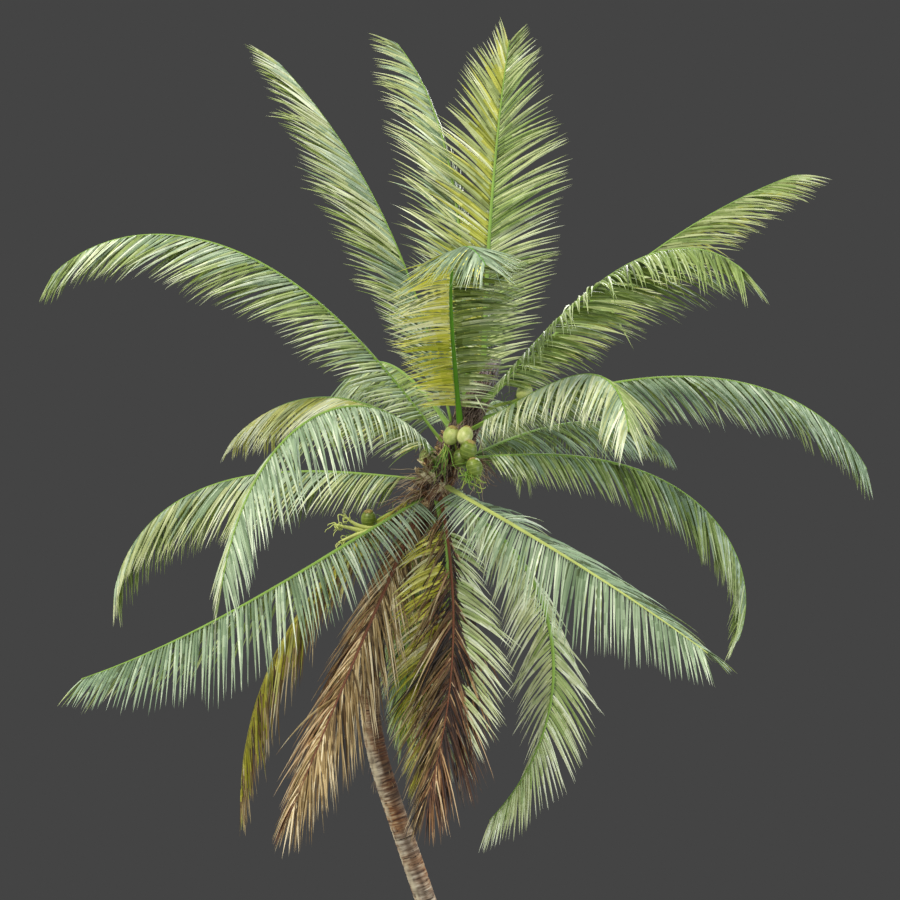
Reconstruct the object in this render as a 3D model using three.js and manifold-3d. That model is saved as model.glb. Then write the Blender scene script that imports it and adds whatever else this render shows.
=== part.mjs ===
// Coconut palm, whole, rooted in level ground.
//
// A slim trunk with a swollen foot leans one way and curves back the other. It ends in the crown's
// heart, a bundle of leaf sheaths wrapped in their own fibre. Long pinnate fronds spring from the
// heart all round: the young ones stand up, the older ones arch and hang, and the oldest are dead
// and brown. Bunches of green coconuts hang between their stalks.
//
// Millimetres and degrees, +Z up. The origin is the middle of the trunk's flat cut at ground level.
// Headings are counted from +X towards +Y.

import * as THREE from 'three';
import Module from 'manifold-3d';

const wasm = await Module();
wasm.setup();

// ---------------------------------------------------------------- driving dimensions

const CLEARANCE = 0.3;

const TRUNK = {
  height: 8220,
  footLean: 19,
  topLean: -25,
  bendFrom: 4200,
  bendTo: 7800,
  boleRadius: 265,
  lowRadius: 150,
  topRadius: 122,
  flareHeight: 900,
  flareDecay: 2.2,
  flareBlunt: 1.5,
  sides: 18,
  scarSpacing: 255,
  scarRelief: 0.03,
};

// The heart goes on from the trunk's top along one straight line, and the stalks are seated on its
// lower part.
const HEART = {
  lean: -TRUNK.topLean,
  length: 2300,
  seats: 1640,
  stations: [0, 0.08, 0.25, 0.45, 0.65, 0.8, 0.92, 1],
  radii: [124, 150, 178, 186, 168, 128, 84, 40],
  sides: 16,
};
const STALK = {
  seatRadius: 120,
  stations: [0, 0.1, 0.4, 1],
  width: [140, 64, 44, 14],
  depth: [60, 46, 32, 12],
  bareSteps: 3,
};

// Each leaflet of the solid stands for a spray of real ones, so it is wider than life. The blade is
// cut to the rib between them. A leaflet bends once, at its widest place. Its length grows from the
// row's foot to the fullest place and tapers from there to the tip, and its angle to the stalk closes
// from angleFoot by angleFall and, near the tip, by angleClose more.
const LEAFLET = {
  first: 0.17,
  pairs: 17,
  footReach: 0.62,
  fullest: 0.45,
  taper: 0.58,
  taperBlunt: 1.3,
  angleFoot: 74,
  angleFall: 32,
  angleClose: 20,
  width: 110,
  narrowest: 0.35,
  bend: 0.4,
  clear: 0.12,
  thicknessShare: 1 / 75,
  room: 2,
};

const NUT = { radius: 108, length: 250, blunt: 0.8, stations: 5, sides: 8 };

// Old leaf bases, broken off short, stand out of the heart in a spiral.
const BOOT = {
  count: 16,
  turn: 137.5,
  width: 96,
  depth: 40,
  taper: 0.8,
  reach: 110,
  rise: 52,
  from: 0.06,
  to: 0.62,
  sides: 6,
};

// Each frond: its name, heading at the stalk and seat on the heart (0 low, 1 high), rise above level
// at the stalk, how far it droops by the tip and how late (bend), its sideways swing, its length, how
// far the leaflets of its left and right rows fold down, how close they keep to the stalk (sweep, 1
// is open), their sag and their greatest length. A few have a taper of their own, a roll of the whole
// blade or a twist along it. An arch that bends round a wide gap is parted in two, and part counts
// the leaflet pairs on its first limb.
const FRONDS = [
  { name: 'frond_01', heading: 40, seat: 1, rise: 88.2, droop: 8.4, bend: 1.3, swing: -7, length: 5130,
    fold: [5, 20], sweep: 0.82, sag: 0.25, leaf: 1250, taper: 0.75, roll: 45 },
  { name: 'frond_02', heading: 115, seat: 0.95, rise: 86.5, droop: 45.7, bend: 2, swing: 20, length: 5760,
    fold: [50, 50], sweep: 0.62, sag: 0.35, leaf: 1260 },
  { name: 'frond_03', heading: 178, seat: 0.75, rise: 76, droop: 31.5, bend: 1.55, swing: 7, length: 5700,
    fold: [60, 60], sweep: 0.62, sag: 0.2, leaf: 1220 },
  { name: 'frond_04', heading: 255, seat: 0.75, rise: 69.5, droop: 107, bend: 1.38, swing: 35,
    length: 4850, fold: [10, 30], sweep: 1, sag: 0.3, leaf: 1100, part: 11 },
  { name: 'frond_05', heading: 8, seat: 1, rise: 44.5, droop: 26, bend: 1.9, swing: -4, length: 5500,
    fold: [50, 50], sweep: 0.65, sag: 0.4, leaf: 1150 },
  { name: 'frond_06', heading: -44, seat: 1, rise: 38.5, droop: 82.5, bend: 2.5, swing: -10, length: 5300,
    fold: [30, 30], sweep: 0.8, sag: 0.5, leaf: 1250 },
  { name: 'frond_07', heading: 188, seat: 0.6, rise: 52, droop: 101.5, bend: 2.15, swing: -23,
    length: 6870, fold: [58, 58], sweep: 0.8, sag: 0.3, leaf: 1120, part: 10 },
  { name: 'frond_08', heading: 95, seat: 0.85, rise: 50, droop: 75, bend: 1.8, swing: -8, length: 5400,
    fold: [40, 40], sweep: 0.8, sag: 0.5, leaf: 1150 },
  { name: 'frond_09', heading: -5, seat: 0.85, rise: 17, droop: 83, bend: 2.1, swing: 12, length: 5920,
    fold: [50, 50], sweep: 0.8, sag: 0.5, leaf: 1020, part: 11 },
  { name: 'frond_10', heading: -43, seat: 0.75, rise: 22, droop: 76, bend: 2.05, swing: -46, length: 4700,
    fold: [30, 35], sweep: 0.85, sag: 0.7, leaf: 1050 },
  { name: 'frond_11', heading: 118, seat: 0.7, rise: 34, droop: 80, bend: 1.6, swing: -10, length: 5300,
    fold: [45, 45], sweep: 0.8, sag: 0.7, leaf: 1150 },
  { name: 'frond_12', heading: 74, seat: 0.6, rise: 24, droop: 85, bend: 1.7, swing: 6, length: 5300,
    fold: [45, 45], sweep: 0.8, sag: 0.8, leaf: 1000 },
  { name: 'frond_13', heading: 228, seat: 0.4, rise: 59.5, droop: 138, bend: 0.75, swing: 13.5,
    length: 5700, fold: [20, 40], sweep: 0.8, sag: 0.7, leaf: 1200, part: 6 },
  { name: 'frond_14', heading: 141, seat: 0.45, rise: 52.5, droop: 83, bend: 0.67, swing: -15,
    length: 5100, fold: [40, 40], sweep: 0.7, sag: 0.7, leaf: 1050, part: 8 },
  { name: 'frond_15', heading: 0, seat: 0.5, rise: 3.5, droop: 124, bend: 2, swing: 2.5, length: 5580,
    fold: [55, 55], sweep: 0.75, sag: 0.6, leaf: 900, part: 9 },
  { name: 'frond_16', heading: 43, seat: 0.45, rise: 18, droop: 49, bend: 1.85, swing: 5, length: 4900,
    fold: [40, 40], sweep: 0.8, sag: 1, leaf: 850 },
  { name: 'frond_17', heading: 170, seat: 0.3, rise: 5, droop: 90, bend: 2.35, swing: -16, length: 5620,
    fold: [50, 50], sweep: 0.8, sag: 0.8, leaf: 1150, part: 9 },
  { name: 'frond_18', heading: -55, seat: 0.26, rise: -17.5, droop: 8.5, bend: 1.7, swing: 5.5,
    length: 5450, fold: [14, 50], sweep: 1, sag: 0.6, leaf: 1050, roll: 8 },
  { name: 'frond_19', heading: 210, seat: 0.15, rise: -27.6, droop: -16, bend: 2.35, swing: 9,
    length: 5550, fold: [50, 50], sweep: 1, sag: 0.5, leaf: 1100 },
  { name: 'frond_20', heading: 102, seat: 0.25, rise: -18, droop: 75, bend: 1, swing: -6, length: 5200,
    fold: [35, 35], sweep: 0.8, sag: 0.8, leaf: 1100 },
  { name: 'frond_21', heading: 6, seat: 0.12, rise: -17, droop: 123.5, bend: 0.86, swing: 8, length: 5400,
    fold: [50, 50], sweep: 0.85, sag: 0.5, leaf: 1100, twist: 200, part: 8 },
  { name: 'frond_22', heading: -60, seat: 0.15, rise: -61, droop: 12, bend: 0.4, swing: -81, length: 3890,
    fold: [20, 0], sweep: 1.1, sag: 0.8, leaf: 1120 },
  { name: 'dying_frond', heading: 195, seat: 0.25, rise: -34, droop: 58, bend: 1.3, swing: 6, length: 5150,
    fold: [45, 30], sweep: 0.4, sag: 0.8, leaf: 1200 },
  { name: 'dead_frond_left', heading: 228, seat: 0.1, rise: -56, droop: 5, bend: 0.97, swing: -4.2,
    length: 4600, fold: [5, 42], sweep: 0.46, sag: 0.5, leaf: 1400, roll: -38 },
  { name: 'dead_frond_front', heading: 300, seat: 0.2, rise: -67.1, droop: -2.9, bend: 0.99, swing: -72,
    length: 4370, fold: [40, 8], sweep: 0.56, sag: 0.4, leaf: 1420 },
];

// ---------------------------------------------------------------- materials

const BARK = new THREE.MeshStandardMaterial({ color: 0xa88e74, roughness: 0.9, metalness: 0 });
const FIBRE = new THREE.MeshStandardMaterial({ color: 0x5e4636, roughness: 0.95, metalness: 0 });
const LEAF = new THREE.MeshStandardMaterial({ color: 0x7f9f63, roughness: 0.5, metalness: 0 });
const DRY_LEAF = new THREE.MeshStandardMaterial({ color: 0x8d6a45, roughness: 0.8, metalness: 0 });
const HUSK = new THREE.MeshStandardMaterial({ color: 0x9caa55, roughness: 0.45, metalness: 0 });

// ---------------------------------------------------------------- small tools

const V = (x, y, z) => new THREE.Vector3(x, y, z);
const radians = THREE.MathUtils.degToRad;

// The value at t of a row of values given at rising stations, straight between them.
function between(stations, values, t) {
  let i = 0;
  while (i < stations.length - 2 && t > stations[i + 1]) i += 1;
  const share = (t - stations[i]) / (stations[i + 1] - stations[i]);
  return THREE.MathUtils.lerp(values[i], values[i + 1], THREE.MathUtils.clamp(share, 0, 1));
}

// A closed skin carried through a row of rings. Every ring has as many points, turning left about
// the way the rings run, and the last may be a single point, a tip.
function skin(rings) {
  const positions = rings.flat().flatMap((p) => [p.x, p.y, p.z]);
  const sides = rings[0].length;
  const index = [];
  for (let j = 1; j < sides - 1; j += 1) index.push(0, j + 1, j);
  for (let i = 0; i < rings.length - 1; i += 1) {
    for (let j = 0; j < sides; j += 1) {
      const here = i * sides + j;
      const beside = i * sides + ((j + 1) % sides);
      if (rings[i + 1].length === 1) {
        index.push(here, beside, (i + 1) * sides);
      } else {
        index.push(here, beside, beside + sides, here, beside + sides, here + sides);
      }
    }
  }
  if (rings.at(-1).length > 1) {
    const first = (rings.length - 1) * sides;
    for (let j = 1; j < sides - 1; j += 1) index.push(first, first + j, first + j + 1);
  }
  const geometry = new THREE.BufferGeometry();
  geometry.setAttribute('position', new THREE.Float32BufferAttribute(positions, 3));
  geometry.setIndex(index);
  return geometry;
}

// A ring about a centre: an ellipse whose half-axes are the vectors u and v.
function ring(centre, u, v, sides) {
  return Array.from({ length: sides }, (_, j) => {
    const turn = (2 * Math.PI * j) / sides;
    return centre.clone().addScaledVector(u, Math.cos(turn)).addScaledVector(v, Math.sin(turn));
  });
}

// A four-cornered ring about a centre, out to the half-width u and the half-depth v.
function barRing(centre, u, v) {
  const corners = [[1, -1], [1, 1], [-1, 1], [-1, -1]];
  return corners.map(([a, b]) => centre.clone().addScaledVector(u, a).addScaledVector(v, b));
}

function solid(geometry) {
  return new wasm.Manifold(new wasm.Mesh({
    numProp: 3,
    vertProperties: new Float32Array(geometry.getAttribute('position').array),
    triVerts: new Uint32Array(geometry.getIndex().array),
  }));
}

// The largest single body of a solid, as a named mesh.
function finish(name, body, material) {
  const whole = body.decompose().sort((a, b) => b.volume() - a.volume())[0];
  const { numProp, vertProperties, triVerts } = whole.getMesh();
  const positions = new Float32Array((vertProperties.length / numProp) * 3);
  for (let i = 0; i * numProp < vertProperties.length; i += 1) {
    positions.set(vertProperties.subarray(i * numProp, i * numProp + 3), i * 3);
  }
  const geometry = new THREE.BufferGeometry();
  geometry.setAttribute('position', new THREE.BufferAttribute(positions, 3));
  geometry.setIndex(new THREE.BufferAttribute(triVerts, 1));
  const mesh = new THREE.Mesh(geometry, material);
  mesh.name = name;
  return mesh;
}

// ---------------------------------------------------------------- trunk

// How far the trunk leans at a height: steady at the foot, then an even turn to the other side.
function trunkLean(z) {
  const turned = THREE.MathUtils.smoothstep(z, TRUNK.bendFrom, TRUNK.bendTo);
  return radians(THREE.MathUtils.lerp(TRUNK.footLean, TRUNK.topLean, turned));
}

function trunkAxis(step) {
  const points = [V(0, 0, 0)];
  const count = Math.round(TRUNK.height / step);
  for (let i = 0; i < count; i += 1) {
    const rise = TRUNK.height / count;
    const z = i * rise;
    points.push(V(points[i].x - Math.tan(trunkLean(z + rise / 2)) * rise, 0, z + rise));
  }
  return points;
}

// The bole swells out at the foot and the stem above it tapers evenly to the top.
function trunkRadius(z) {
  const stem = THREE.MathUtils.lerp(TRUNK.lowRadius, TRUNK.topRadius, z / TRUNK.height);
  const fade = Math.exp(-TRUNK.flareDecay * (z / TRUNK.flareHeight) ** TRUNK.flareBlunt);
  return stem + (TRUNK.boleRadius - TRUNK.lowRadius) * fade;
}

function trunkGeometry() {
  const rings = trunkAxis(TRUNK.scarSpacing).map((point, i) => {
    const lean = trunkLean(point.z) * THREE.MathUtils.smoothstep(point.z, 0, TRUNK.flareHeight);
    const scar = i % 2 ? 1 + TRUNK.scarRelief : 1;
    const radius = trunkRadius(point.z) * scar;
    return ring(point, V(Math.cos(lean) * radius, 0, Math.sin(lean) * radius), V(0, radius, 0), TRUNK.sides);
  });
  return skin(rings);
}

// ---------------------------------------------------------------- heart of the crown

const heartDirection = V(Math.sin(radians(HEART.lean)), 0, Math.cos(radians(HEART.lean)));
const heartAcross = V(heartDirection.z, 0, -heartDirection.x);
const heartFoot = trunkAxis(TRUNK.scarSpacing).at(-1).addScaledVector(heartDirection, CLEARANCE);

// A place on the heart's line, by seat.
function seatPoint(seat) {
  return heartFoot.clone().addScaledVector(heartDirection, seat * HEART.seats);
}

function heartGeometry(grow) {
  const rings = HEART.stations.map((t, i) => {
    const radius = HEART.radii[i] + grow;
    const centre = heartFoot.clone().addScaledVector(heartDirection, t * HEART.length);
    return ring(centre, heartAcross.clone().multiplyScalar(radius), V(0, radius, 0), HEART.sides);
  });
  return skin(rings);
}

// One broken leaf base: a short wedge that leans up and out of the heart.
function bootGeometry(k, grow) {
  const seat = THREE.MathUtils.lerp(BOOT.from, BOOT.to, k / (BOOT.count - 1));
  const heading = radians(k * BOOT.turn);
  const out = V(Math.cos(heading), Math.sin(heading), 0);
  const along = out.clone().multiplyScalar(Math.cos(radians(BOOT.rise)));
  along.z = Math.sin(radians(BOOT.rise));
  const across = V(-out.y, out.x, 0);
  const up = along.clone().cross(across);
  const start = seatPoint(seat).addScaledVector(out, STALK.seatRadius);
  const rings = [1, BOOT.taper].map((share, i) => ring(
    start.clone().addScaledVector(along, i * (BOOT.reach + grow)),
    across.clone().multiplyScalar((BOOT.width * share) / 2 + grow),
    up.clone().multiplyScalar((BOOT.depth * share) / 2 + grow),
    BOOT.sides,
  ));
  return skin(rings);
}

// ---------------------------------------------------------------- fronds

// The run of a frond's stalk in even steps. Its elevation falls from the rise by droop * s ^ bend,
// its heading swings evenly, and each place is the sum of the steps before it. At each step along
// points on, across lies level and to the left of it, up is the blade's upper side, and the roll
// turns both about it.
function frondLine(frond, steps = 60) {
  const frames = [];
  const place = seatPoint(frond.seat);
  const heading = radians(frond.heading);
  place.add(V(Math.cos(heading), Math.sin(heading), 0).multiplyScalar(STALK.seatRadius));
  for (let i = 0; i <= steps; i += 1) {
    const s = i / steps;
    const elevation = radians(frond.rise - frond.droop * s ** frond.bend);
    const turn = heading + radians(frond.swing * s);
    const level = V(Math.cos(turn), Math.sin(turn), 0);
    const along = level.multiplyScalar(Math.cos(elevation)).setZ(Math.sin(elevation));
    const roll = radians((frond.roll ?? 0) + (frond.twist ?? 0) * s);
    const across = V(-Math.sin(turn), Math.cos(turn), 0).applyAxisAngle(along, roll);
    const up = along.clone().cross(across);
    frames.push({ s, place: place.clone(), along, across, up });
    place.addScaledVector(along, frond.length / steps);
  }
  return frames;
}

// The frame at s on a frond's run, between its steps.
function frameAt(line, s) {
  const at = s * (line.length - 1);
  const i = Math.min(Math.floor(at), line.length - 2);
  const mix = (key) => line[i][key].clone().lerp(line[i + 1][key], at - i);
  return {
    place: mix('place'),
    along: mix('along').normalize(),
    across: mix('across').normalize(),
    up: mix('up').normalize(),
  };
}

// The stalk's bar at s: a ring of four corners, the left side's two, then the right side's two.
function stalkRing(line, s, grow) {
  const { place, across, up } = frameAt(line, s);
  const halfWidth = between(STALK.stations, STALK.width, s) / 2 + grow;
  const halfDepth = between(STALK.stations, STALK.depth, s) / 2 + grow;
  return barRing(place, across.multiplyScalar(halfWidth), up.multiplyScalar(halfDepth));
}

// Where along the stalk the edge between leaflet pairs k - 1 and k lies.
function pairEdge(k) {
  return LEAFLET.first + (1 - LEAFLET.first) * (k / LEAFLET.pairs);
}

// The share of its full length that a leaflet has, and its angle to the stalk, at u along the row.
function leafletReach(u, taper) {
  const { footReach, fullest, taperBlunt } = LEAFLET;
  const swell = footReach + (1 - footReach) * Math.sin((Math.PI / 2) * Math.min(1, u / fullest));
  return swell * (1 - taper * (Math.max(0, u - fullest) / (1 - fullest)) ** taperBlunt);
}

function leafletAngle(u) {
  return radians(LEAFLET.angleFoot - LEAFLET.angleFall * u - LEAFLET.angleClose * u ** 3);
}

// The limb's station at which pair k starts.
function station(limb, k) {
  return k - limb.from + (limb.from > 0 ? 0 : STALK.bareSteps);
}

// The two corners of a stalk's ring that lie on the side of a row.
function sideCorners(side) {
  return side > 0 ? [0, 1] : [2, 3];
}

// One leaflet of pair k: side 1 is the left row and -1 the right. It grows out of the stalk's side at
// its angle, folded down out of the blade's plane, and its own weight bends it. Gives its rings of
// four corners on the stalk's side, just clear of it, and at its bend, then its tip. Each ring starts
// at the edge nearer the frond's foot.
function leaflet(limb, k, side, grow) {
  const { frond, line } = limb;
  const u = (k + 0.5) / LEAFLET.pairs;
  const s = (pairEdge(k) + pairEdge(k + 1)) / 2;
  const { place, along, across, up } = frameAt(line, s);
  const fold = radians(frond.fold[side > 0 ? 0 : 1]);
  const outward = across.clone().multiplyScalar(side * Math.cos(fold)).addScaledVector(up, -Math.sin(fold));
  const angle = frond.sweep * leafletAngle(u);
  const start = along.clone().multiplyScalar(Math.cos(angle)).addScaledVector(outward, Math.sin(angle));
  const reach = leafletReach(u, frond.taper ?? LEAFLET.taper);
  const length = frond.leaf * reach + grow;
  const heading = (t) => start.clone().addScaledVector(V(0, 0, -1), frond.sag * t).normalize();
  const half = (LEAFLET.width * THREE.MathUtils.lerp(LEAFLET.narrowest, 1, reach)) / 2 + grow;
  const halfDepth = (length * LEAFLET.thicknessShare) / 2 + grow;
  const flatRing = (centre, direction) => {
    const edge = along.clone().addScaledVector(direction, -along.dot(direction)).setLength(half);
    const face = edge.clone().cross(direction).setLength(halfDepth);
    return barRing(centre, edge.negate(), face);
  };
  const root = place.clone().addScaledVector(across, (side * between(STALK.stations, STALK.width, s)) / 2);
  const bendHeading = heading(LEAFLET.bend / 2);
  const bend = root.clone().addScaledVector(bendHeading, length * LEAFLET.bend);
  const tipHeading = heading((1 + LEAFLET.bend) / 2);
  const tip = bend.clone().addScaledVector(tipHeading, length * (1 - LEAFLET.bend));
  const clear = root.clone().addScaledVector(bendHeading, length * LEAFLET.clear);
  const [low, high] = sideCorners(side);
  const [near, far] = [0, 1].map((i) => stalkRing(line, limb.stations[station(limb, k) + i], 0));
  return {
    seat: [near[low], near[high], far[high], far[low]],
    clear: flatRing(clear, bendHeading),
    bend: flatRing(bend, bendHeading),
    tip,
  };
}

// The skin of a frond, or of one part of it. The stalk has a ring at each of the limb's stations, and
// a leaflet that has room grows out of the bar's side between two of them.
function frondGeometry(limb) {
  const rings = limb.stations.map((s) => stalkRing(limb.line, s, 0));
  const points = rings.flat();
  const index = [0, 2, 1, 0, 3, 2];
  const quad = (a, b, c, d) => index.push(a, b, c, a, c, d);
  for (let i = 0; i < rings.length - 1; i += 1) {
    for (let j = 0; j < 4; j += 1) {
      const beside = i * 4 + ((j + 1) % 4);
      const base = [i * 4 + j, beside, beside + 4, i * 4 + j + 4];
      const blade = limb.blades.get(`${i} ${j}`);
      if (blade) {
        const first = points.length;
        points.push(...blade.bend, blade.tip);
        for (let m = 0; m < 4; m += 1) {
          const next = (m + 1) % 4;
          quad(base[m], base[next], first + next, first + m);
          index.push(first + m, first + next, first + 4);
        }
      } else {
        quad(...base);
      }
    }
  }
  const last = points.indexOf(rings.at(-1)[0]);
  quad(last, last + 1, last + 2, last + 3);
  const geometry = new THREE.BufferGeometry();
  const positions = points.flatMap((p) => p.toArray());
  geometry.setAttribute('position', new THREE.Float32BufferAttribute(positions, 3));
  geometry.setIndex(index);
  return geometry;
}

// ---------------------------------------------------------------- coconuts

// A bunch: a stalk from the heart through a bend to its end, and nuts, each on a short foot of its
// own. Places are from the ground's origin.
const BUNCHES = [
  { name: 'coconut_bunch_front', seat: 0.4, bend: [-560, -300, 9180], end: [-440, -420, 8790],
    nuts: [[-688, -330, 9260], [-500, -390, 9260], [-459, -450, 9070], [-553, -300, 8962],
      [-378, -470, 8840]] },
  { name: 'coconut_bunch_left', seat: 0.1, bend: [-1500, 40, 8260], end: [-2120, 50, 7860],
    nuts: [[-1800, 60, 8130]] },
  { name: 'coconut_bunch_right', seat: 0.9, bend: [60, 180, 9680], end: [260, 200, 9800],
    nuts: [[310, 190, 9850]] },
  { name: 'coconut_bunch_back', seat: 0.33, bend: [-850, 330, 8930], end: [-900, 440, 8740],
    nuts: [[-1020, 380, 8970], [-820, 430, 9010], [-960, 500, 8810], [-790, 460, 8790], [-900, 580, 8950]] },
];
const BUNCH_STALK = { radii: [34, 26, 12], sides: 6, steps: 6 };
const NUT_FOOT = 14;

function tubeGeometry(curve, steps, radiusAt, sides) {
  const rings = Array.from({ length: steps + 1 }, (_, i) => {
    const t = i / steps;
    const along = curve.getTangent(t);
    const across = V(0, 0, 1).cross(along).normalize();
    const up = along.clone().cross(across);
    const radius = radiusAt(t);
    return ring(curve.getPoint(t), across.multiplyScalar(radius), up.multiplyScalar(radius), sides);
  });
  return skin(rings);
}

// A nut: a blunt egg turned about an upright axis.
function nutGeometry(centre) {
  const rings = Array.from({ length: NUT.stations }, (_, i) => {
    const turn = (Math.PI * (i + 0.5)) / NUT.stations;
    const radius = NUT.radius * Math.sin(turn) ** NUT.blunt;
    const middle = centre.clone().add(V(0, 0, -Math.cos(turn) * (NUT.length / 2)));
    return ring(middle, V(radius, 0, 0), V(0, radius, 0), NUT.sides);
  });
  return skin(rings);
}

function bunchSolid(bunch) {
  const run = new THREE.QuadraticBezierCurve3(seatPoint(bunch.seat), V(...bunch.bend), V(...bunch.end));
  const radiusAt = (t) => between([0, 0.5, 1], BUNCH_STALK.radii, t);
  let body = solid(tubeGeometry(run, BUNCH_STALK.steps, radiusAt, BUNCH_STALK.sides));
  for (const nut of bunch.nuts) {
    const centre = V(...nut);
    const places = run.getPoints(BUNCH_STALK.steps);
    const nearest = places.sort((a, b) => a.distanceTo(centre) - b.distanceTo(centre))[0];
    const foot = new THREE.LineCurve3(nearest, centre);
    body = body.add(solid(tubeGeometry(foot, 1, () => NUT_FOOT, 4)));
    body = body.add(solid(nutGeometry(centre)));
  }
  return body;
}

// ---------------------------------------------------------------- the whole palm

const palm = new THREE.Group();
const taken = [];

function boxesMeet(a, b) {
  return a.min.every((low, k) => low < b.max[k]) && b.min.every((low, k) => low < a.max[k]);
}

// Whether a solid touches anything that belongs to another node.
function touches(body, owner) {
  const box = body.boundingBox();
  return taken.some((other) => other.owner !== owner
    && boxesMeet(box, other.box)
    && !body.intersect(other.body).isEmpty());
}

function keep(body, owner) {
  taken.push({ body, owner, box: body.boundingBox() });
}

const trunk = solid(trunkGeometry());
keep(trunk, 'trunk');
palm.add(finish('trunk', trunk, BARK));

const heartRoom = solid(heartGeometry(CLEARANCE));
keep(solid(heartGeometry(0)), 'crown_heart');

// The bunches and the stalks go in first, each cut clear of the heart and of those before it.
const bunches = BUNCHES.map((bunch) => {
  const body = bunchSolid(bunch).subtract(heartRoom);
  keep(body, bunch.name);
  return { name: bunch.name, body };
});

// A frond is one limb, or two where its arch is parted. The first holds the bare stalk too.
const limbs = FRONDS.flatMap((frond) => {
  const line = frondLine(frond);
  const gap = CLEARANCE / 2 / frond.length;
  const bare = Array.from({ length: STALK.bareSteps }, (_, i) => (LEAFLET.first * i) / STALK.bareSteps);
  const limb = (name, from, to) => {
    const edges = Array.from({ length: to - from + 1 }, (_, i) => pairEdge(from + i));
    if (from > 0) edges[0] += gap;
    if (to < LEAFLET.pairs) edges[to - from] -= gap;
    const stations = from > 0 ? edges : [...bare, ...edges];
    return { name, frond, line, from, to, stations, blades: new Map() };
  };
  return frond.part
    ? [limb(`${frond.name}_base`, 0, frond.part), limb(`${frond.name}_tip`, frond.part, LEAFLET.pairs)]
    : [limb(frond.name, 0, LEAFLET.pairs)];
});

function bareStalk(limb, grow) {
  return solid(skin(limb.stations.map((s) => stalkRing(limb.line, s, grow))));
}

for (const limb of limbs) {
  limb.room = heartRoom;
  for (const other of limbs.filter((one) => one.body && one.from === 0 && limb.from === 0)) {
    if (!bareStalk(limb, 0).intersect(other.body).isEmpty()) {
      limb.room = limb.room.add(bareStalk(other, CLEARANCE));
    }
  }
  limb.body = bareStalk(limb, 0).subtract(limb.room);
  keep(limb.body, limb.name);
}

// Then the old leaf bases and the leaflets, where nothing is in their way.
let heart = solid(heartGeometry(0));
for (let k = 0; k < BOOT.count; k += 1) {
  if (!touches(solid(bootGeometry(k, LEAFLET.room)), 'crown_heart')) {
    heart = heart.add(solid(bootGeometry(k, 0)));
    keep(solid(bootGeometry(k, 0)), 'crown_heart');
  }
}
palm.add(finish('crown_heart', heart, FIBRE));

for (const limb of limbs) {
  const own = [];
  for (let k = limb.from; k < limb.to; k += 1) {
    for (const side of [1, -1]) {
      const room = leaflet(limb, k, side, LEAFLET.room);
      const whole = solid(skin([room.seat, room.bend, [room.tip]]));
      const free = solid(skin([room.clear, room.bend, [room.tip]]));
      if (!touches(whole, limb.name) && own.every((other) => other.intersect(free).isEmpty())) {
        const blade = leaflet(limb, k, side, 0);
        limb.blades.set(`${station(limb, k)} ${sideCorners(side)[0]}`, blade);
        keep(solid(skin([blade.seat, blade.bend, [blade.tip]])), limb.name);
        own.push(solid(skin([blade.clear, blade.bend, [blade.tip]])));
      }
    }
  }
  const material = limb.name.startsWith('dead') ? DRY_LEAF : LEAF;
  palm.add(finish(limb.name, solid(frondGeometry(limb)).subtract(limb.room), material));
}

for (const { name, body } of bunches) palm.add(finish(name, body, HUSK));

export default palm;
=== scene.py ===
"""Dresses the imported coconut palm: ringed stem, matted sheath fibre, feathered fronds and nuts.

Metres, +Z up, in the frame's own place: the origin is the middle of the stem's flat cut at ground
level. Headings are counted from +X towards +Y. Every piece rides on the one body, root.
"""

import math

import bpy
import numpy as np
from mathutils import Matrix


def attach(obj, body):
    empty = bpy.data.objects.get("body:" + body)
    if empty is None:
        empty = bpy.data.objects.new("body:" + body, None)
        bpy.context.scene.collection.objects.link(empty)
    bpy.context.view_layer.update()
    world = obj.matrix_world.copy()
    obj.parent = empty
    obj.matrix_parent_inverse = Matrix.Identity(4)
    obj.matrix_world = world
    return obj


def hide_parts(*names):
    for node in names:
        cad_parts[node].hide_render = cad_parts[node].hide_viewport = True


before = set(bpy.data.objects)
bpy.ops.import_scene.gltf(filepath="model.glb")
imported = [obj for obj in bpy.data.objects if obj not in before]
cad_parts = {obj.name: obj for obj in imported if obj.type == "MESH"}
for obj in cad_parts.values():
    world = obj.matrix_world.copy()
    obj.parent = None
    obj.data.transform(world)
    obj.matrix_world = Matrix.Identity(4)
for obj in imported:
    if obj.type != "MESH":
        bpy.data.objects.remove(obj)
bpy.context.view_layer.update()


# ---------------------------------------------------------------- stem
# The stem of a grown coconut palm: a column of hard fibres without any growth of its own in width.
# Fallen leaves have left ring scars all the way up, and the weather has cracked it lengthwise. It
# stands in the ground on a swollen bole.

STEM_HEIGHT = 8.22
FOOT_LEAN, TOP_LEAN = 19, -25
BEND_FROM, BEND_TO = 4.2, 7.8
BOLE_RADIUS, LOW_RADIUS, TOP_RADIUS = 0.265, 0.15, 0.122
FLARE_HEIGHT, FLARE_DECAY, FLARE_BLUNT = 0.9, 2.2, 1.5
SCAR_SPACING, SCAR_DEPTH = 0.095, 0.007
FINE_RING_SPACING, FINE_RING_DEPTH = 0.036, 0.0026
CRACK_DEPTH, LUMP_HEIGHT = 0.008, 0.005
MEAN_RADIUS = 0.135


def smooth(x, low, high):
    """0 below low, 1 above high, and 3 t^2 - 2 t^3 between them."""
    t = np.clip((x - low) / (high - low), 0, 1)
    return t * t * (3 - 2 * t)


def stem_lean(z):
    """The lean from upright, in radians: steady at the foot, then an even turn to the other side."""
    return np.radians(FOOT_LEAN + (TOP_LEAN - FOOT_LEAN) * smooth(z, BEND_FROM, BEND_TO))


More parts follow.
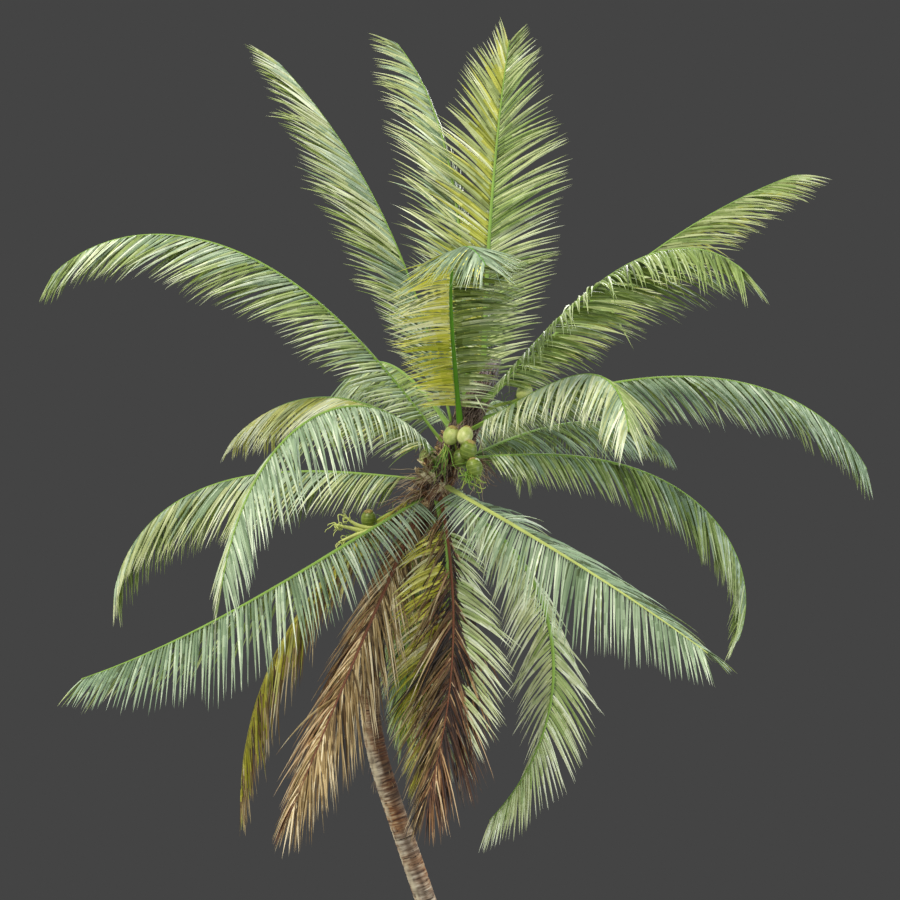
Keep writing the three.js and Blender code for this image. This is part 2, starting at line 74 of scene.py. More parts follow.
def stem_line(z):
    """The stem's middle at rising heights z: x is minus the sum of tan(lean) times the rise."""
    fine = np.linspace(0, STEM_HEIGHT, 2000)
    rise = fine[1] - fine[0]
    x = -np.concatenate([[0], np.cumsum(np.tan(stem_lean(fine[:-1] + rise / 2)) * rise)])
    return np.stack([np.interp(z, fine, x), 0 * z, z], -1)


def stem_radius(z):
    """An even taper to the top, plus a bole that fades by exp(-2.2 (z / 0.9) ^ 1.5)."""
    fade = np.exp(-FLARE_DECAY * (z / FLARE_HEIGHT) ** FLARE_BLUNT)
    return LOW_RADIUS + (TOP_RADIUS - LOW_RADIUS) * z / STEM_HEIGHT + (BOLE_RADIUS - LOW_RADIUS) * fade


def wander(x, y, draw, wrap=None):
    """Smooth noise from -1 to 1: random values on whole-number places, eased between them. With
    wrap, the values come round again after that many steps of x, so a turn closes on itself."""
    columns = wrap or int(np.max(x)) + 2
    lattice = draw.uniform(-1, 1, (columns, int(np.max(y)) + 2))
    i, j = np.floor(x).astype(int), np.floor(y).astype(int)
    a, b = smooth(x - i, 0, 1), smooth(y - j, 0, 1)
    near, far = i % columns, (i + 1) % columns
    low = lattice[near, j] * (1 - a) + lattice[far, j] * a
    high = lattice[near, j + 1] * (1 - a) + lattice[far, j + 1] * a
    return low * (1 - b) + high * b


def lay_mesh(name, points, faces, finishes, dealt=None, smooth_faces=True, uv=None, marks=None):
    """A piece at the origin. faces is a list of whole-number arrays, each (count, corners); dealt
    gives each face's finish by number, uv each point's place on the surface, and marks named
    values for each point."""
    mesh = bpy.data.meshes.new(name)
    corners = np.concatenate([f.ravel() for f in faces]).astype(np.int32)
    sides = np.concatenate([np.full(len(f), f.shape[1]) for f in faces])
    mesh.vertices.add(len(points))
    mesh.vertices.foreach_set("co", np.asarray(points, np.float32).ravel())
    mesh.loops.add(len(corners))
    mesh.loops.foreach_set("vertex_index", corners)
    mesh.polygons.add(len(sides))
    mesh.polygons.foreach_set("loop_start", (np.cumsum(sides) - sides).astype(np.int32))
    for finish in finishes:
        mesh.materials.append(finish)
    if dealt is not None:
        mesh.polygons.foreach_set("material_index", np.asarray(dealt, np.int32))
    mesh.polygons.foreach_set("use_smooth", np.full(len(sides), smooth_faces))
    if uv is not None:
        layer = mesh.uv_layers.new(name="surface")
        layer.data.foreach_set("uv", np.asarray(uv, np.float32)[corners].ravel())
    for label, values in (marks or {}).items():
        attribute = mesh.attributes.new(label, "FLOAT", "POINT")
        attribute.data.foreach_set("value", np.asarray(values, np.float32))
    mesh.update(calc_edges=True)
    mesh.validate()
    piece = bpy.data.objects.new(name, mesh)
    bpy.context.scene.collection.objects.link(piece)
    return piece


def ring_faces(rings, sides):
    """Quads between each ring of points and the next, closed round, facing away from the line."""
    i, j = np.meshgrid(np.arange(rings - 1), np.arange(sides), indexing="ij")
    here = i * sides + j
    beside = i * sides + (j + 1) % sides
    return np.stack([here, beside, beside + sides, here + sides], -1).reshape(-1, 4)


def closed_rings(rings, sides):
    """The same, and a face to close each end."""
    ends = np.stack([np.arange(sides)[::-1], (rings - 1) * sides + np.arange(sides)])
    return [ring_faces(rings, sides), ends]


def linear(hex_colour):
    """A colour written as sRGB hex, as the linear red, green, blue and alpha that shaders take."""
    parts = np.array([int(hex_colour[i:i + 2], 16) for i in (1, 3, 5)]) / 255
    light = np.where(parts <= 0.04045, parts / 12.92, ((parts + 0.055) / 1.055) ** 2.4)
    return (*light, 1.0)


def add_node(material, kind, settings=None, **links):
    """Adds one shader node. settings sets its properties, its inputs and a ramp's steps, each a place
    and an sRGB hex. links joins its inputs, with _ for a space in their names, to an output or to
    the first output in use of a node. The last two inputs in use are called first and second."""
    node = material.node_tree.nodes.new("ShaderNode" + kind)

    def named(key):
        """The input that a key means, or None."""
        if key in ("first", "second"):
            return [entry for entry in node.inputs if entry.enabled][-2:][key == "second"]
        return node.inputs.get(key.replace("_", " "))

    for key, value in (settings or {}).items():
        if key == "steps":
            ramp = node.color_ramp.elements
            while len(ramp) < len(value):
                ramp.new(0.5)
            for element, (place, colour) in zip(ramp, value):
                element.position = place
                element.color = linear(colour)
        elif named(key):
            named(key).default_value = value
        else:
            setattr(node, key, value)
    for key, source in links.items():
        if isinstance(source, bpy.types.Node):
            source = next(output for output in source.outputs if output.enabled)
        material.node_tree.links.new(source, named(key))
    return node


def new_finish(name):
    """A material with no nodes yet."""
    material = bpy.data.materials.new(name)
    material.use_nodes = True
    material.node_tree.nodes.clear()
    return material


def close_finish(material, settings, **links):
    """Ends a finish with its shader, set and joined like any node, and its output. Gives the finish."""
    shader = add_node(material, "BsdfPrincipled", settings, **links)
    add_node(material, "OutputMaterial", Surface=shader)
    return material


draw = np.random.default_rng(11)
STEM_SIDES, STEM_RINGS = 96, 860
stem_z = np.linspace(0, 1, STEM_RINGS) ** 1.02 * STEM_HEIGHT
z, around = np.meshgrid(stem_z, np.arange(STEM_SIDES) / STEM_SIDES, indexing="ij")


def on_bark(turns, height, low=-1, high=1):
    """Wandering values over the bark, from low to high, with this many swells to a turn and a swell
    to each height."""
    return (low + high) / 2 + (high - low) / 2 * wander(around * turns, z / height, draw, wrap=turns)


# A scar's height wavers round the stem, and so does its spacing up it. Each is a sunken ledge with a
# swollen lip above it, and finer rings, lengthwise cracks and low lumps lie over all.
waver = on_bark(6, 0.5, -0.18, 0.18) + on_bark(14, 0.2, -0.07, 0.07)
scar_phase = z / SCAR_SPACING + waver + 1.3 * wander(0 * z, z / 0.35, draw)
in_scar = scar_phase % 1
ledge = np.exp(-((in_scar - 0.12) / 0.06) ** 2)
lip = smooth(in_scar, 0.2, 0.32) * (1 - smooth(in_scar, 0.45, 1.0))
strength = 0.65 + 0.35 * wander(around * 4, scar_phase - scar_phase.min(), draw, wrap=4)
fine_rings = np.sin(2 * math.pi * (z / FINE_RING_SPACING + 1.2 * waver)) * on_bark(9, 0.09, 0.2, 1.0)
cracks = np.clip(on_bark(60, 0.16) - 0.45, 0, 1) * smooth(z, 0.0, 0.3)
relief = (strength * (0.55 * lip - ledge) * SCAR_DEPTH + FINE_RING_DEPTH * fine_rings
          - CRACK_DEPTH * cracks + LUMP_HEIGHT * on_bark(5, 0.6))
relief *= smooth(STEM_HEIGHT - z, 0, 0.05) * smooth(z, 0, 0.03)
radius = stem_radius(z) + relief
lean = stem_lean(z) * smooth(z, 0, FLARE_HEIGHT)
middle = stem_line(stem_z)[:, None, :]
angle = 2 * math.pi * around

# The side towards +X is darkened by painted shade, standing for the side away from the key light,
# but less on its lower half, which stays greyer with pale rims to its rings. The side towards -X is
# lightened by painted light, where the key light falls.
facing = np.cos(angle) + on_bark(12, 0.3, -0.2, 0.2)
grey_side = smooth(facing, 0.1, 0.7) * (1 - smooth(z, 3.6, 4.6))
painted_shade_share = smooth(facing, -0.35, 0.45) * (1 - 0.8 * grey_side)
# Painted light: the side towards -X, where the key light falls, is lightened.
painted_lit_side = smooth(-facing, 0.25, 0.85) * smooth(on_bark(20, 0.07), -0.9, 0.9)
pale_rims = 0.45 * smooth(fine_rings, 0.45, 1.1) * (0.4 + 0.6 * grey_side)
stem_points = middle + np.stack([
    radius * np.cos(angle) * np.cos(lean),
    radius * np.sin(angle),
    radius * np.cos(angle) * np.sin(lean),
], -1)
stem_points[0, :, 2] = 0

# Weathered palm stem: dry, matt fibre. Bands of 40 mm run from brown to cream, with greyer patches of
# half a metre, and fine cracks 6 mm apart. The scars, the cracks and the grooves of the fine rings are
# darkened to brown, and the rims of the fine rings are pale. The side towards +X is darkened by
# painted shade and the side towards -X lightened by painted light.
bark = new_finish("weathered_palm_stem")
place = add_node(bark, "TexCoord")
band_stretch = add_node(bark, "Mapping", {"Scale": (3.0, 1 / 0.04, 1)}, Vector=place.outputs["UV"])
bands = add_node(bark, "TexNoise", {"Scale": 1.0, "Detail": 5.0, "Roughness": 0.6},
                 Vector=band_stretch)
patches = add_node(bark, "TexNoise", {"Scale": 2.2, "Detail": 3.0}, Vector=place.outputs["Object"])
crack_stretch = add_node(bark, "Mapping", {"Scale": (1 / 0.006, 1 / 0.08, 1)},
                         Vector=place.outputs["UV"])
crack_lines = add_node(bark, "TexNoise", {"Scale": 1.0, "Detail": 2.0}, Vector=crack_stretch)
tan = add_node(bark, "ValToRGB", {"steps": [
    (0.30, "#3A2012"), (0.43, "#825232"), (0.53, "#B48558"), (0.68, "#E6D2AC")]}, Fac=bands)
grey = add_node(bark, "ValToRGB", {"steps": [
    (0.30, "#4A3A2C"), (0.45, "#8E7C68"), (0.56, "#BCAC96"), (0.70, "#EADFCB")]}, Fac=bands)
patch_share = add_node(bark, "ValToRGB", {"steps": [(0.42, "#000000"), (0.62, "#FFFFFF")]},
                       Fac=patches)
surface = add_node(bark, "Mix", {"data_type": "RGBA"}, Factor=patch_share, first=tan, second=grey)
scar_mark = add_node(bark, "Attribute", {"attribute_name": "scar"})
scar_share = add_node(bark, "ValToRGB", {"steps": [(0.30, "#000000"), (0.75, "#FFFFFF")]},
                      Fac=scar_mark.outputs["Fac"])
surface = add_node(bark, "Mix", {"data_type": "RGBA", "second": linear("#2E1C10")},
                   Factor=scar_share, first=surface)
# The first mark multiplies painted shade into the side towards +X; the second mixes in the pale rims of the
# fine rings and the painted light on the side towards -X.
for mark, blend, tone in (("damp", "MULTIPLY", "#86705E"), ("rim", "MIX", "#EBDCBC")):
    share = add_node(bark, "Attribute", {"attribute_name": mark})
    settings = {"data_type": "RGBA", "blend_type": blend, "second": linear(tone)}
    surface = add_node(bark, "Mix", settings, Factor=share.outputs["Fac"], first=surface)
bark_bump = add_node(bark, "Bump", {"Strength": 0.5, "Distance": 0.004}, Height=crack_lines)
close_finish(bark, {"Roughness": 0.88}, Base_Color=surface, Normal=bark_bump)

stem = lay_mesh(
    "stem_bark", stem_points.reshape(-1, 3), closed_rings(STEM_RINGS, STEM_SIDES), [bark],
    uv=np.stack([around * 2 * math.pi * MEAN_RADIUS, z], -1).reshape(-1, 2), marks={
        "scar": (strength * ledge + 0.8 * cracks + 0.45 * np.clip(-fine_rings, 0, 1)).ravel(),
        # Painted shade on the side towards +X.
        "damp": painted_shade_share.ravel(),
        # Pale rims of the fine rings, plus painted light on the side towards -X.
        "rim": (pale_rims + painted_lit_side).clip(0, 0.9).ravel(),
    },
)
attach(stem, "root")
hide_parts("trunk")


# ---------------------------------------------------------------- heart of the crown
# The heart is the bundle of leaf sheaths round the growing tip, wrapped in the brown woven fibre
# that each sheath leaves behind. It goes on from the stem's top along a straight line, and the bases
# of shed leaves, torn off short, stand out of it.

CLEARANCE = 0.0003
HEART_LENGTH, SEATS_LENGTH = 2.3, 1.64
UPRIGHT = np.array([0, 0, 1.0])
HEART_STATIONS = [0, 0.08, 0.25, 0.45, 0.65, 0.8, 0.92, 1]
HEART_RADII = [0.124, 0.15, 0.178, 0.186, 0.168, 0.128, 0.084, 0.04]

heart_way = np.array([math.sin(-math.radians(TOP_LEAN)), 0, math.cos(math.radians(TOP_LEAN))])
heart_side = np.array([heart_way[2], 0, -heart_way[0]])
heart_back = np.array([0, 1.0, 0])
heart_foot = stem_line(np.array([STEM_HEIGHT]))[0] + CLEARANCE * heart_way


def seat_point(seat):
    """A place on the heart's line, by seat: 0 low, 1 high."""
    return heart_foot + heart_way * (seat * SEATS_LENGTH)


def on_heart(t, angle, lift):
    """Places lift above the heart's skin, at t of its length and at an angle round it."""
    radius = np.interp(t, HEART_STATIONS, HEART_RADII) + lift
    return (heart_foot + (t * HEART_LENGTH)[..., None] * heart_way
            + (radius * np.cos(angle))[..., None] * heart_side
            + (radius * np.sin(angle))[..., None] * heart_back)


def unit(vectors):
    """Each way, at length 1."""
    return vectors / np.linalg.norm(vectors, axis=-1, keepdims=True)


def repeated(faces, count, points_each):
    """One piece's faces, given to each of many like pieces in turn."""
    first = (np.arange(count) * points_each)[:, None, None]
    return [(face + first).reshape(-1, face.shape[1]) for face in faces]


def tubes(paths, radii, sides, flat=1.0):
    """Round or flattened stalks: circles of radii (count, places), pressed by flat on one axis, square
    to paths (count, places, 3). Gives their points and faces, the sides of all before the ends."""
    count, places = paths.shape[:2]
    way = unit(np.gradient(paths, axis=1))
    across = unit(np.cross(np.array([0.13, 0.21, 1.0]), way))
    up = np.cross(way, across)
    angle = 2 * math.pi * np.arange(sides) / sides
    reach = radii[..., None, None]
    points = (paths[:, :, None, :] + reach * np.cos(angle)[:, None] * across[:, :, None, :]
              + flat * reach * np.sin(angle)[:, None] * up[:, :, None, :])
    return points.reshape(-1, 3), repeated(closed_rings(places, sides), count, places * sides)


def dealt_tubes(tones, places, sides):
    """Each face's tone, from each stalk's, in the order that tubes gives the faces."""
    return np.concatenate([np.repeat(tones, (places - 1) * sides), np.repeat(tones, 2)])


draw = np.random.default_rng(12)
HEART_SIDES, HEART_RINGS = 72, 200
FOLD_DEPTH, FRAY_DEPTH = 0.012, 0.006
t, around = np.meshgrid(np.linspace(0, 1, HEART_RINGS), np.arange(HEART_SIDES) / HEART_SIDES, indexing="ij")
folds = wander(around * 11 + 2.2 * t, t * 6, draw, wrap=11)
frays = wander(around * 40, t * 30, draw, wrap=40)
heart_points = on_heart(t, 2 * math.pi * around, FOLD_DEPTH * (folds - 1) + FRAY_DEPTH * frays)


def fibre_finish(name, deep, middle, pale, roughness=0.92):
    """Dry fibre or rind: matt, mottled in spots of about 30 mm from deep to pale, and rough to the
    touch there, which gives it its tangled look."""
    material = new_finish(name)
    place = add_node(material, "TexCoord")
    mottle = add_node(material, "TexNoise", {"Scale": 1 / 0.03, "Detail": 5.0, "Roughness": 0.7},
                      Vector=place.outputs["Object"])
    tones = add_node(material, "ValToRGB",
                     {"steps": [(0.34, deep), (0.5, middle), (0.68, pale)]}, Fac=mottle)
    relief = add_node(material, "Bump", {"Strength": 0.7, "Distance": 0.005}, Height=mottle)
    return close_finish(material, {"Roughness": roughness}, Base_Color=tones, Normal=relief)


# The woven sheath in the gaps is deep brown, and the loose strands over it run from near black
# through a dusty mauve brown to bleached straw.
fibre = fibre_finish("matted_sheath_fibre", "#221610", "#423028", "#6A564A")
strand_finishes = [
    fibre_finish("dark_sheath_strand", "#22140C", "#3E2A1E", "#5A4232"),
    fibre_finish("mauve_sheath_strand", "#5C4A44", "#8A766C", "#B09C92"),
    fibre_finish("brown_sheath_strand", "#4E2814", "#784828", "#9C6C44"),
    fibre_finish("straw_sheath_strand", "#8A7456", "#B09A78", "#D2C2A2"),
    fibre_finish("downy_sheath_strand", "#7C7078", "#9E949C", "#C4BCC2"),
]

heart = lay_mesh("heart_sheaths", heart_points.reshape(-1, 3), closed_rings(HEART_RINGS, HEART_SIDES),
                 [fibre])
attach(heart, "root")
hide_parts("crown_heart")

# Loose strands of the woven sheaths. They lie aslant both ways over the heart, start + 2 reach k along
# it and angle + lean k round it, and some lift off it at their ends by (2 k) ^ 2. The upper part has
# no brown ones, and the newest, at the tip, are downy.
MAUVE, BROWN, DOWNY = 1, 2, 4
STRANDS, STRAND_PLACES = 1100, 9
THREAD_SIDES = 5
k = np.linspace(-0.5, 0.5, STRAND_PLACES)[None, :]
start = draw.uniform(0.03, 0.99, STRANDS)[:, None]
lean_over = draw.choice([-1, 1], STRANDS) * draw.uniform(0.15, 1.3, STRANDS)
reach_along = draw.uniform(0.04, 0.13, STRANDS)
angle = draw.uniform(0, 2 * math.pi, STRANDS)[:, None] + lean_over[:, None] * k
lift = draw.uniform(0.0, 0.022, STRANDS)[:, None] + draw.exponential(0.012, STRANDS)[:, None] * (2 * k) ** 2
strand_paths = on_heart(np.clip(start + reach_along[:, None] * 2 * k, 0, 1.0), angle, lift)
strand_paths = strand_paths + 0.004 * draw.normal(0, 1, strand_paths.shape)
strand_radii = draw.uniform(0.0035, 0.0095, STRANDS)[:, None] * (1 - 0.8 * (2 * np.abs(k)) ** 3)
strand_tones = draw.choice(4, STRANDS, p=[0.22, 0.42, 0.2, 0.16])
upper_part, tip_part = start[:, 0] > 0.42, start[:, 0] > 0.88
strand_tones = np.where(upper_part & (strand_tones == BROWN), MAUVE, strand_tones)
strand_tones = np.where(tip_part & (draw.uniform(0, 1, STRANDS) < 0.8), DOWNY, strand_tones)
strand_points, strand_faces = tubes(strand_paths, strand_radii, THREAD_SIDES, 0.6)

# Wisps that have come loose hang from the heart's lower half and from the stem's neck.
WISPS, WISP_PLACES = 90, 12
j = np.linspace(0, 1, WISP_PLACES)[None, :]
wisp_angle = draw.uniform(0, 2 * math.pi, WISPS)
wisp_root = on_heart(draw.uniform(0.0, 0.6, WISPS), wisp_angle, np.full(WISPS, 0.01))
wisp_length = draw.uniform(0.15, 0.55, WISPS)
outward = unit(wisp_root - heart_foot - ((wisp_root - heart_foot) @ heart_way)[:, None] * heart_way)
stick_out = (draw.uniform(0.1, 0.5, WISPS) * wisp_length)[:, None] * np.sqrt(j)
wisp_paths = (wisp_root[:, None, :] + stick_out[..., None] * outward[:, None, :]
              - (wisp_length[:, None] * j ** 1.3)[..., None] * UPRIGHT)
curl = draw.uniform(0, 6.3, WISPS)[:, None] + draw.uniform(4, 11, WISPS)[:, None] * j
wisp_paths = wisp_paths + 0.03 * (j * np.cos(curl))[..., None] * np.array([1.0, 0, 0])
wisp_paths = wisp_paths + 0.03 * (j * np.sin(curl))[..., None] * np.array([0, 1.0, 0])
wisp_radii = draw.uniform(0.0025, 0.005, WISPS)[:, None] * (1 - 0.7 * j)
wisp_points, wisp_faces = tubes(wisp_paths, wisp_radii, THREAD_SIDES)
wisp_tones = draw.choice(4, WISPS, p=[0.4, 0.3, 0.2, 0.1])
for name, points, faces, dealt in (
    ("sheath_strands", strand_points, strand_faces, dealt_tubes(strand_tones, STRAND_PLACES, THREAD_SIDES)),
    ("sheath_wisps", wisp_points, wisp_faces, dealt_tubes(wisp_tones, WISP_PLACES, THREAD_SIDES)),
):
    piece = lay_mesh(name, points, faces, strand_finishes, dealt=dealt)
    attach(piece, "root")

# Bases of shed leaves: hard, pale, rounded wedges that clasp the heart and end in a torn stump.
# Each is a flattened round of half-width w (1 - 0.35 q) and half-depth d (1 - 0.3 q) at q along it,
# and its end is ragged by random steps. They wind up the heart by the same turn each, and the
# thickest stand in a clump where several leaves were lost on the side towards -X.
BASES, CLUMP = 44, 11
BASE_TURN = 137.5
BASE_SIDES, BASE_RINGS = 14, 10
q = np.linspace(0, 1, BASE_RINGS)
round_angle = 2 * math.pi * np.arange(BASE_SIDES) / BASE_SIDES
base_points, base_tones = [], []
for number in range(BASES + CLUMP):
    clumped = number >= BASES
    share = draw.uniform(0.38, 0.66) if clumped else number / (BASES - 1)
    turn = draw.uniform(182, 252) if clumped else BASE_TURN * number + draw.uniform(-12, 12)
    heading = math.radians(turn)
    rise = math.radians(draw.uniform(20, 62))
    out = np.array([math.cos(heading), math.sin(heading), 0])
    along = out * math.cos(rise) + UPRIGHT * math.sin(rise)
    across = np.array([-out[1], out[0], 0])
    upward = np.cross(along, across)
    length = draw.uniform(0.12, 0.30)
    half_width, half_depth = draw.uniform(0.045, 0.068), draw.uniform(0.02, 0.032) * (1.6 if clumped else 1)
    centre = heart_foot + heart_way * (0.02 + 1.1 * share) + out * 0.1
    path = centre + (q * length)[:, None] * along + (0.03 * q ** 2)[:, None] * out
    width = half_width * (1 - 0.35 * q)
    depth = half_depth * (1 - 0.3 * q)
    lumpy = 1 + 0.10 * draw.normal(0, 1, (BASE_RINGS, BASE_SIDES))
    rings = (path[:, None, :]
             + (width[:, None] * np.cos(round_angle) * lumpy)[..., None] * across
             + (depth[:, None] * np.sin(round_angle) * lumpy)[..., None] * upward)
    rings[-1] += (0.05 * draw.uniform(-1, 1, BASE_SIDES))[:, None] * along
    base_points.append(rings.reshape(-1, 3))
    base_tones.append(draw.choice(3, p=[0.6, 0, 0.4] if clumped else [0.45, 0.25, 0.3]))
base_finishes = [
    fibre_finish("torn_leaf_base_tan", "#7E6038", "#B8986A", "#E0CCA0", 0.8),
    fibre_finish("torn_leaf_base_brown", "#3E2616", "#6E4A2C", "#94703E", 0.8),
    fibre_finish("torn_leaf_base_cream", "#9A8A62", "#C8BB92", "#E6DFC4", 0.75),
]
base_faces = repeated(closed_rings(BASE_RINGS, BASE_SIDES), BASES + CLUMP, BASE_RINGS * BASE_SIDES)
bases = lay_mesh("torn_leaf_bases", np.vstack(base_points), base_faces, base_finishes,
                 dealt=dealt_tubes(np.array(base_tones), BASE_RINGS, BASE_SIDES))
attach(bases, "root")

# Torn threads that the dead leaves left on the stem below. They stick out a little and then hang.
THREADS, THREAD_PLACES = 420, 7
j = np.linspace(0, 1, THREAD_PLACES)[None, :]
thread_z = STEM_HEIGHT - draw.exponential(1.1, THREADS).clip(0, 3.6) - 0.02
thread_angle = draw.uniform(0, 2 * math.pi, THREADS)
outward = np.stack([np.cos(thread_angle), np.sin(thread_angle), 0 * thread_angle], -1)
thread_root = stem_line(thread_z) + (stem_radius(thread_z) - 0.006)[:, None] * outward
stick_out = draw.uniform(0.01, 0.07, THREADS)[:, None] * np.sqrt(j)
thread_paths = (thread_root[:, None, :] + stick_out[..., None] * outward[:, None, :]
                - (draw.uniform(0.03, 0.2, THREADS)[:, None] * j ** 1.4)[..., None] * UPRIGHT)
thread_paths = thread_paths + (0.012 * j)[..., None] * draw.normal(0, 1, (THREADS, 1, 3))
thread_radii = draw.uniform(0.0018, 0.004, THREADS)[:, None] * (1 - 0.6 * j)
thread_points, thread_faces = tubes(thread_paths, thread_radii, THREAD_SIDES)
thread_tones = draw.choice(4, THREADS, p=[0.25, 0.2, 0.25, 0.3])
threads = lay_mesh("stem_threads", thread_points, thread_faces, strand_finishes,
                   dealt=dealt_tubes(thread_tones, THREAD_PLACES, THREAD_SIDES))
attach(threads, "root")


# ---------------------------------------------------------------- fronds
# A coconut frond is one pinnate leaf: a stalk that clasps the heart with a broad base and runs on as
# the rib, and some two hundred leaflets in two rows. Each leaflet is a long leathery ribbon folded
# to a ridge along its upper side, and hangs a little by its own weight.

# Along the stalk, 0 to 1: where the leaflets start and end, and where u, by which their lengths and
# angles go, is 0.
FIRST_LEAFLET, LAST_LEAFLET = 0.07, 0.965
ROW_ZERO = 0.17
FOOT_REACH, FULLEST, TAPER, TAPER_BLUNT = 0.62, 0.45, 0.58, 1.3
ANGLE_FOOT, ANGLE_FALL, ANGLE_CLOSE = 74, 32, 20
SPLAY_REACH = 0.18
STALK_SEAT = 0.12
STALK_STATIONS = [0, 0.1, 0.4, 1]
STALK_WIDTH = [0.13, 0.08, 0.054, 0.014]
STALK_DEPTH = [0.06, 0.046, 0.032, 0.012]
LINE_STEPS = 60
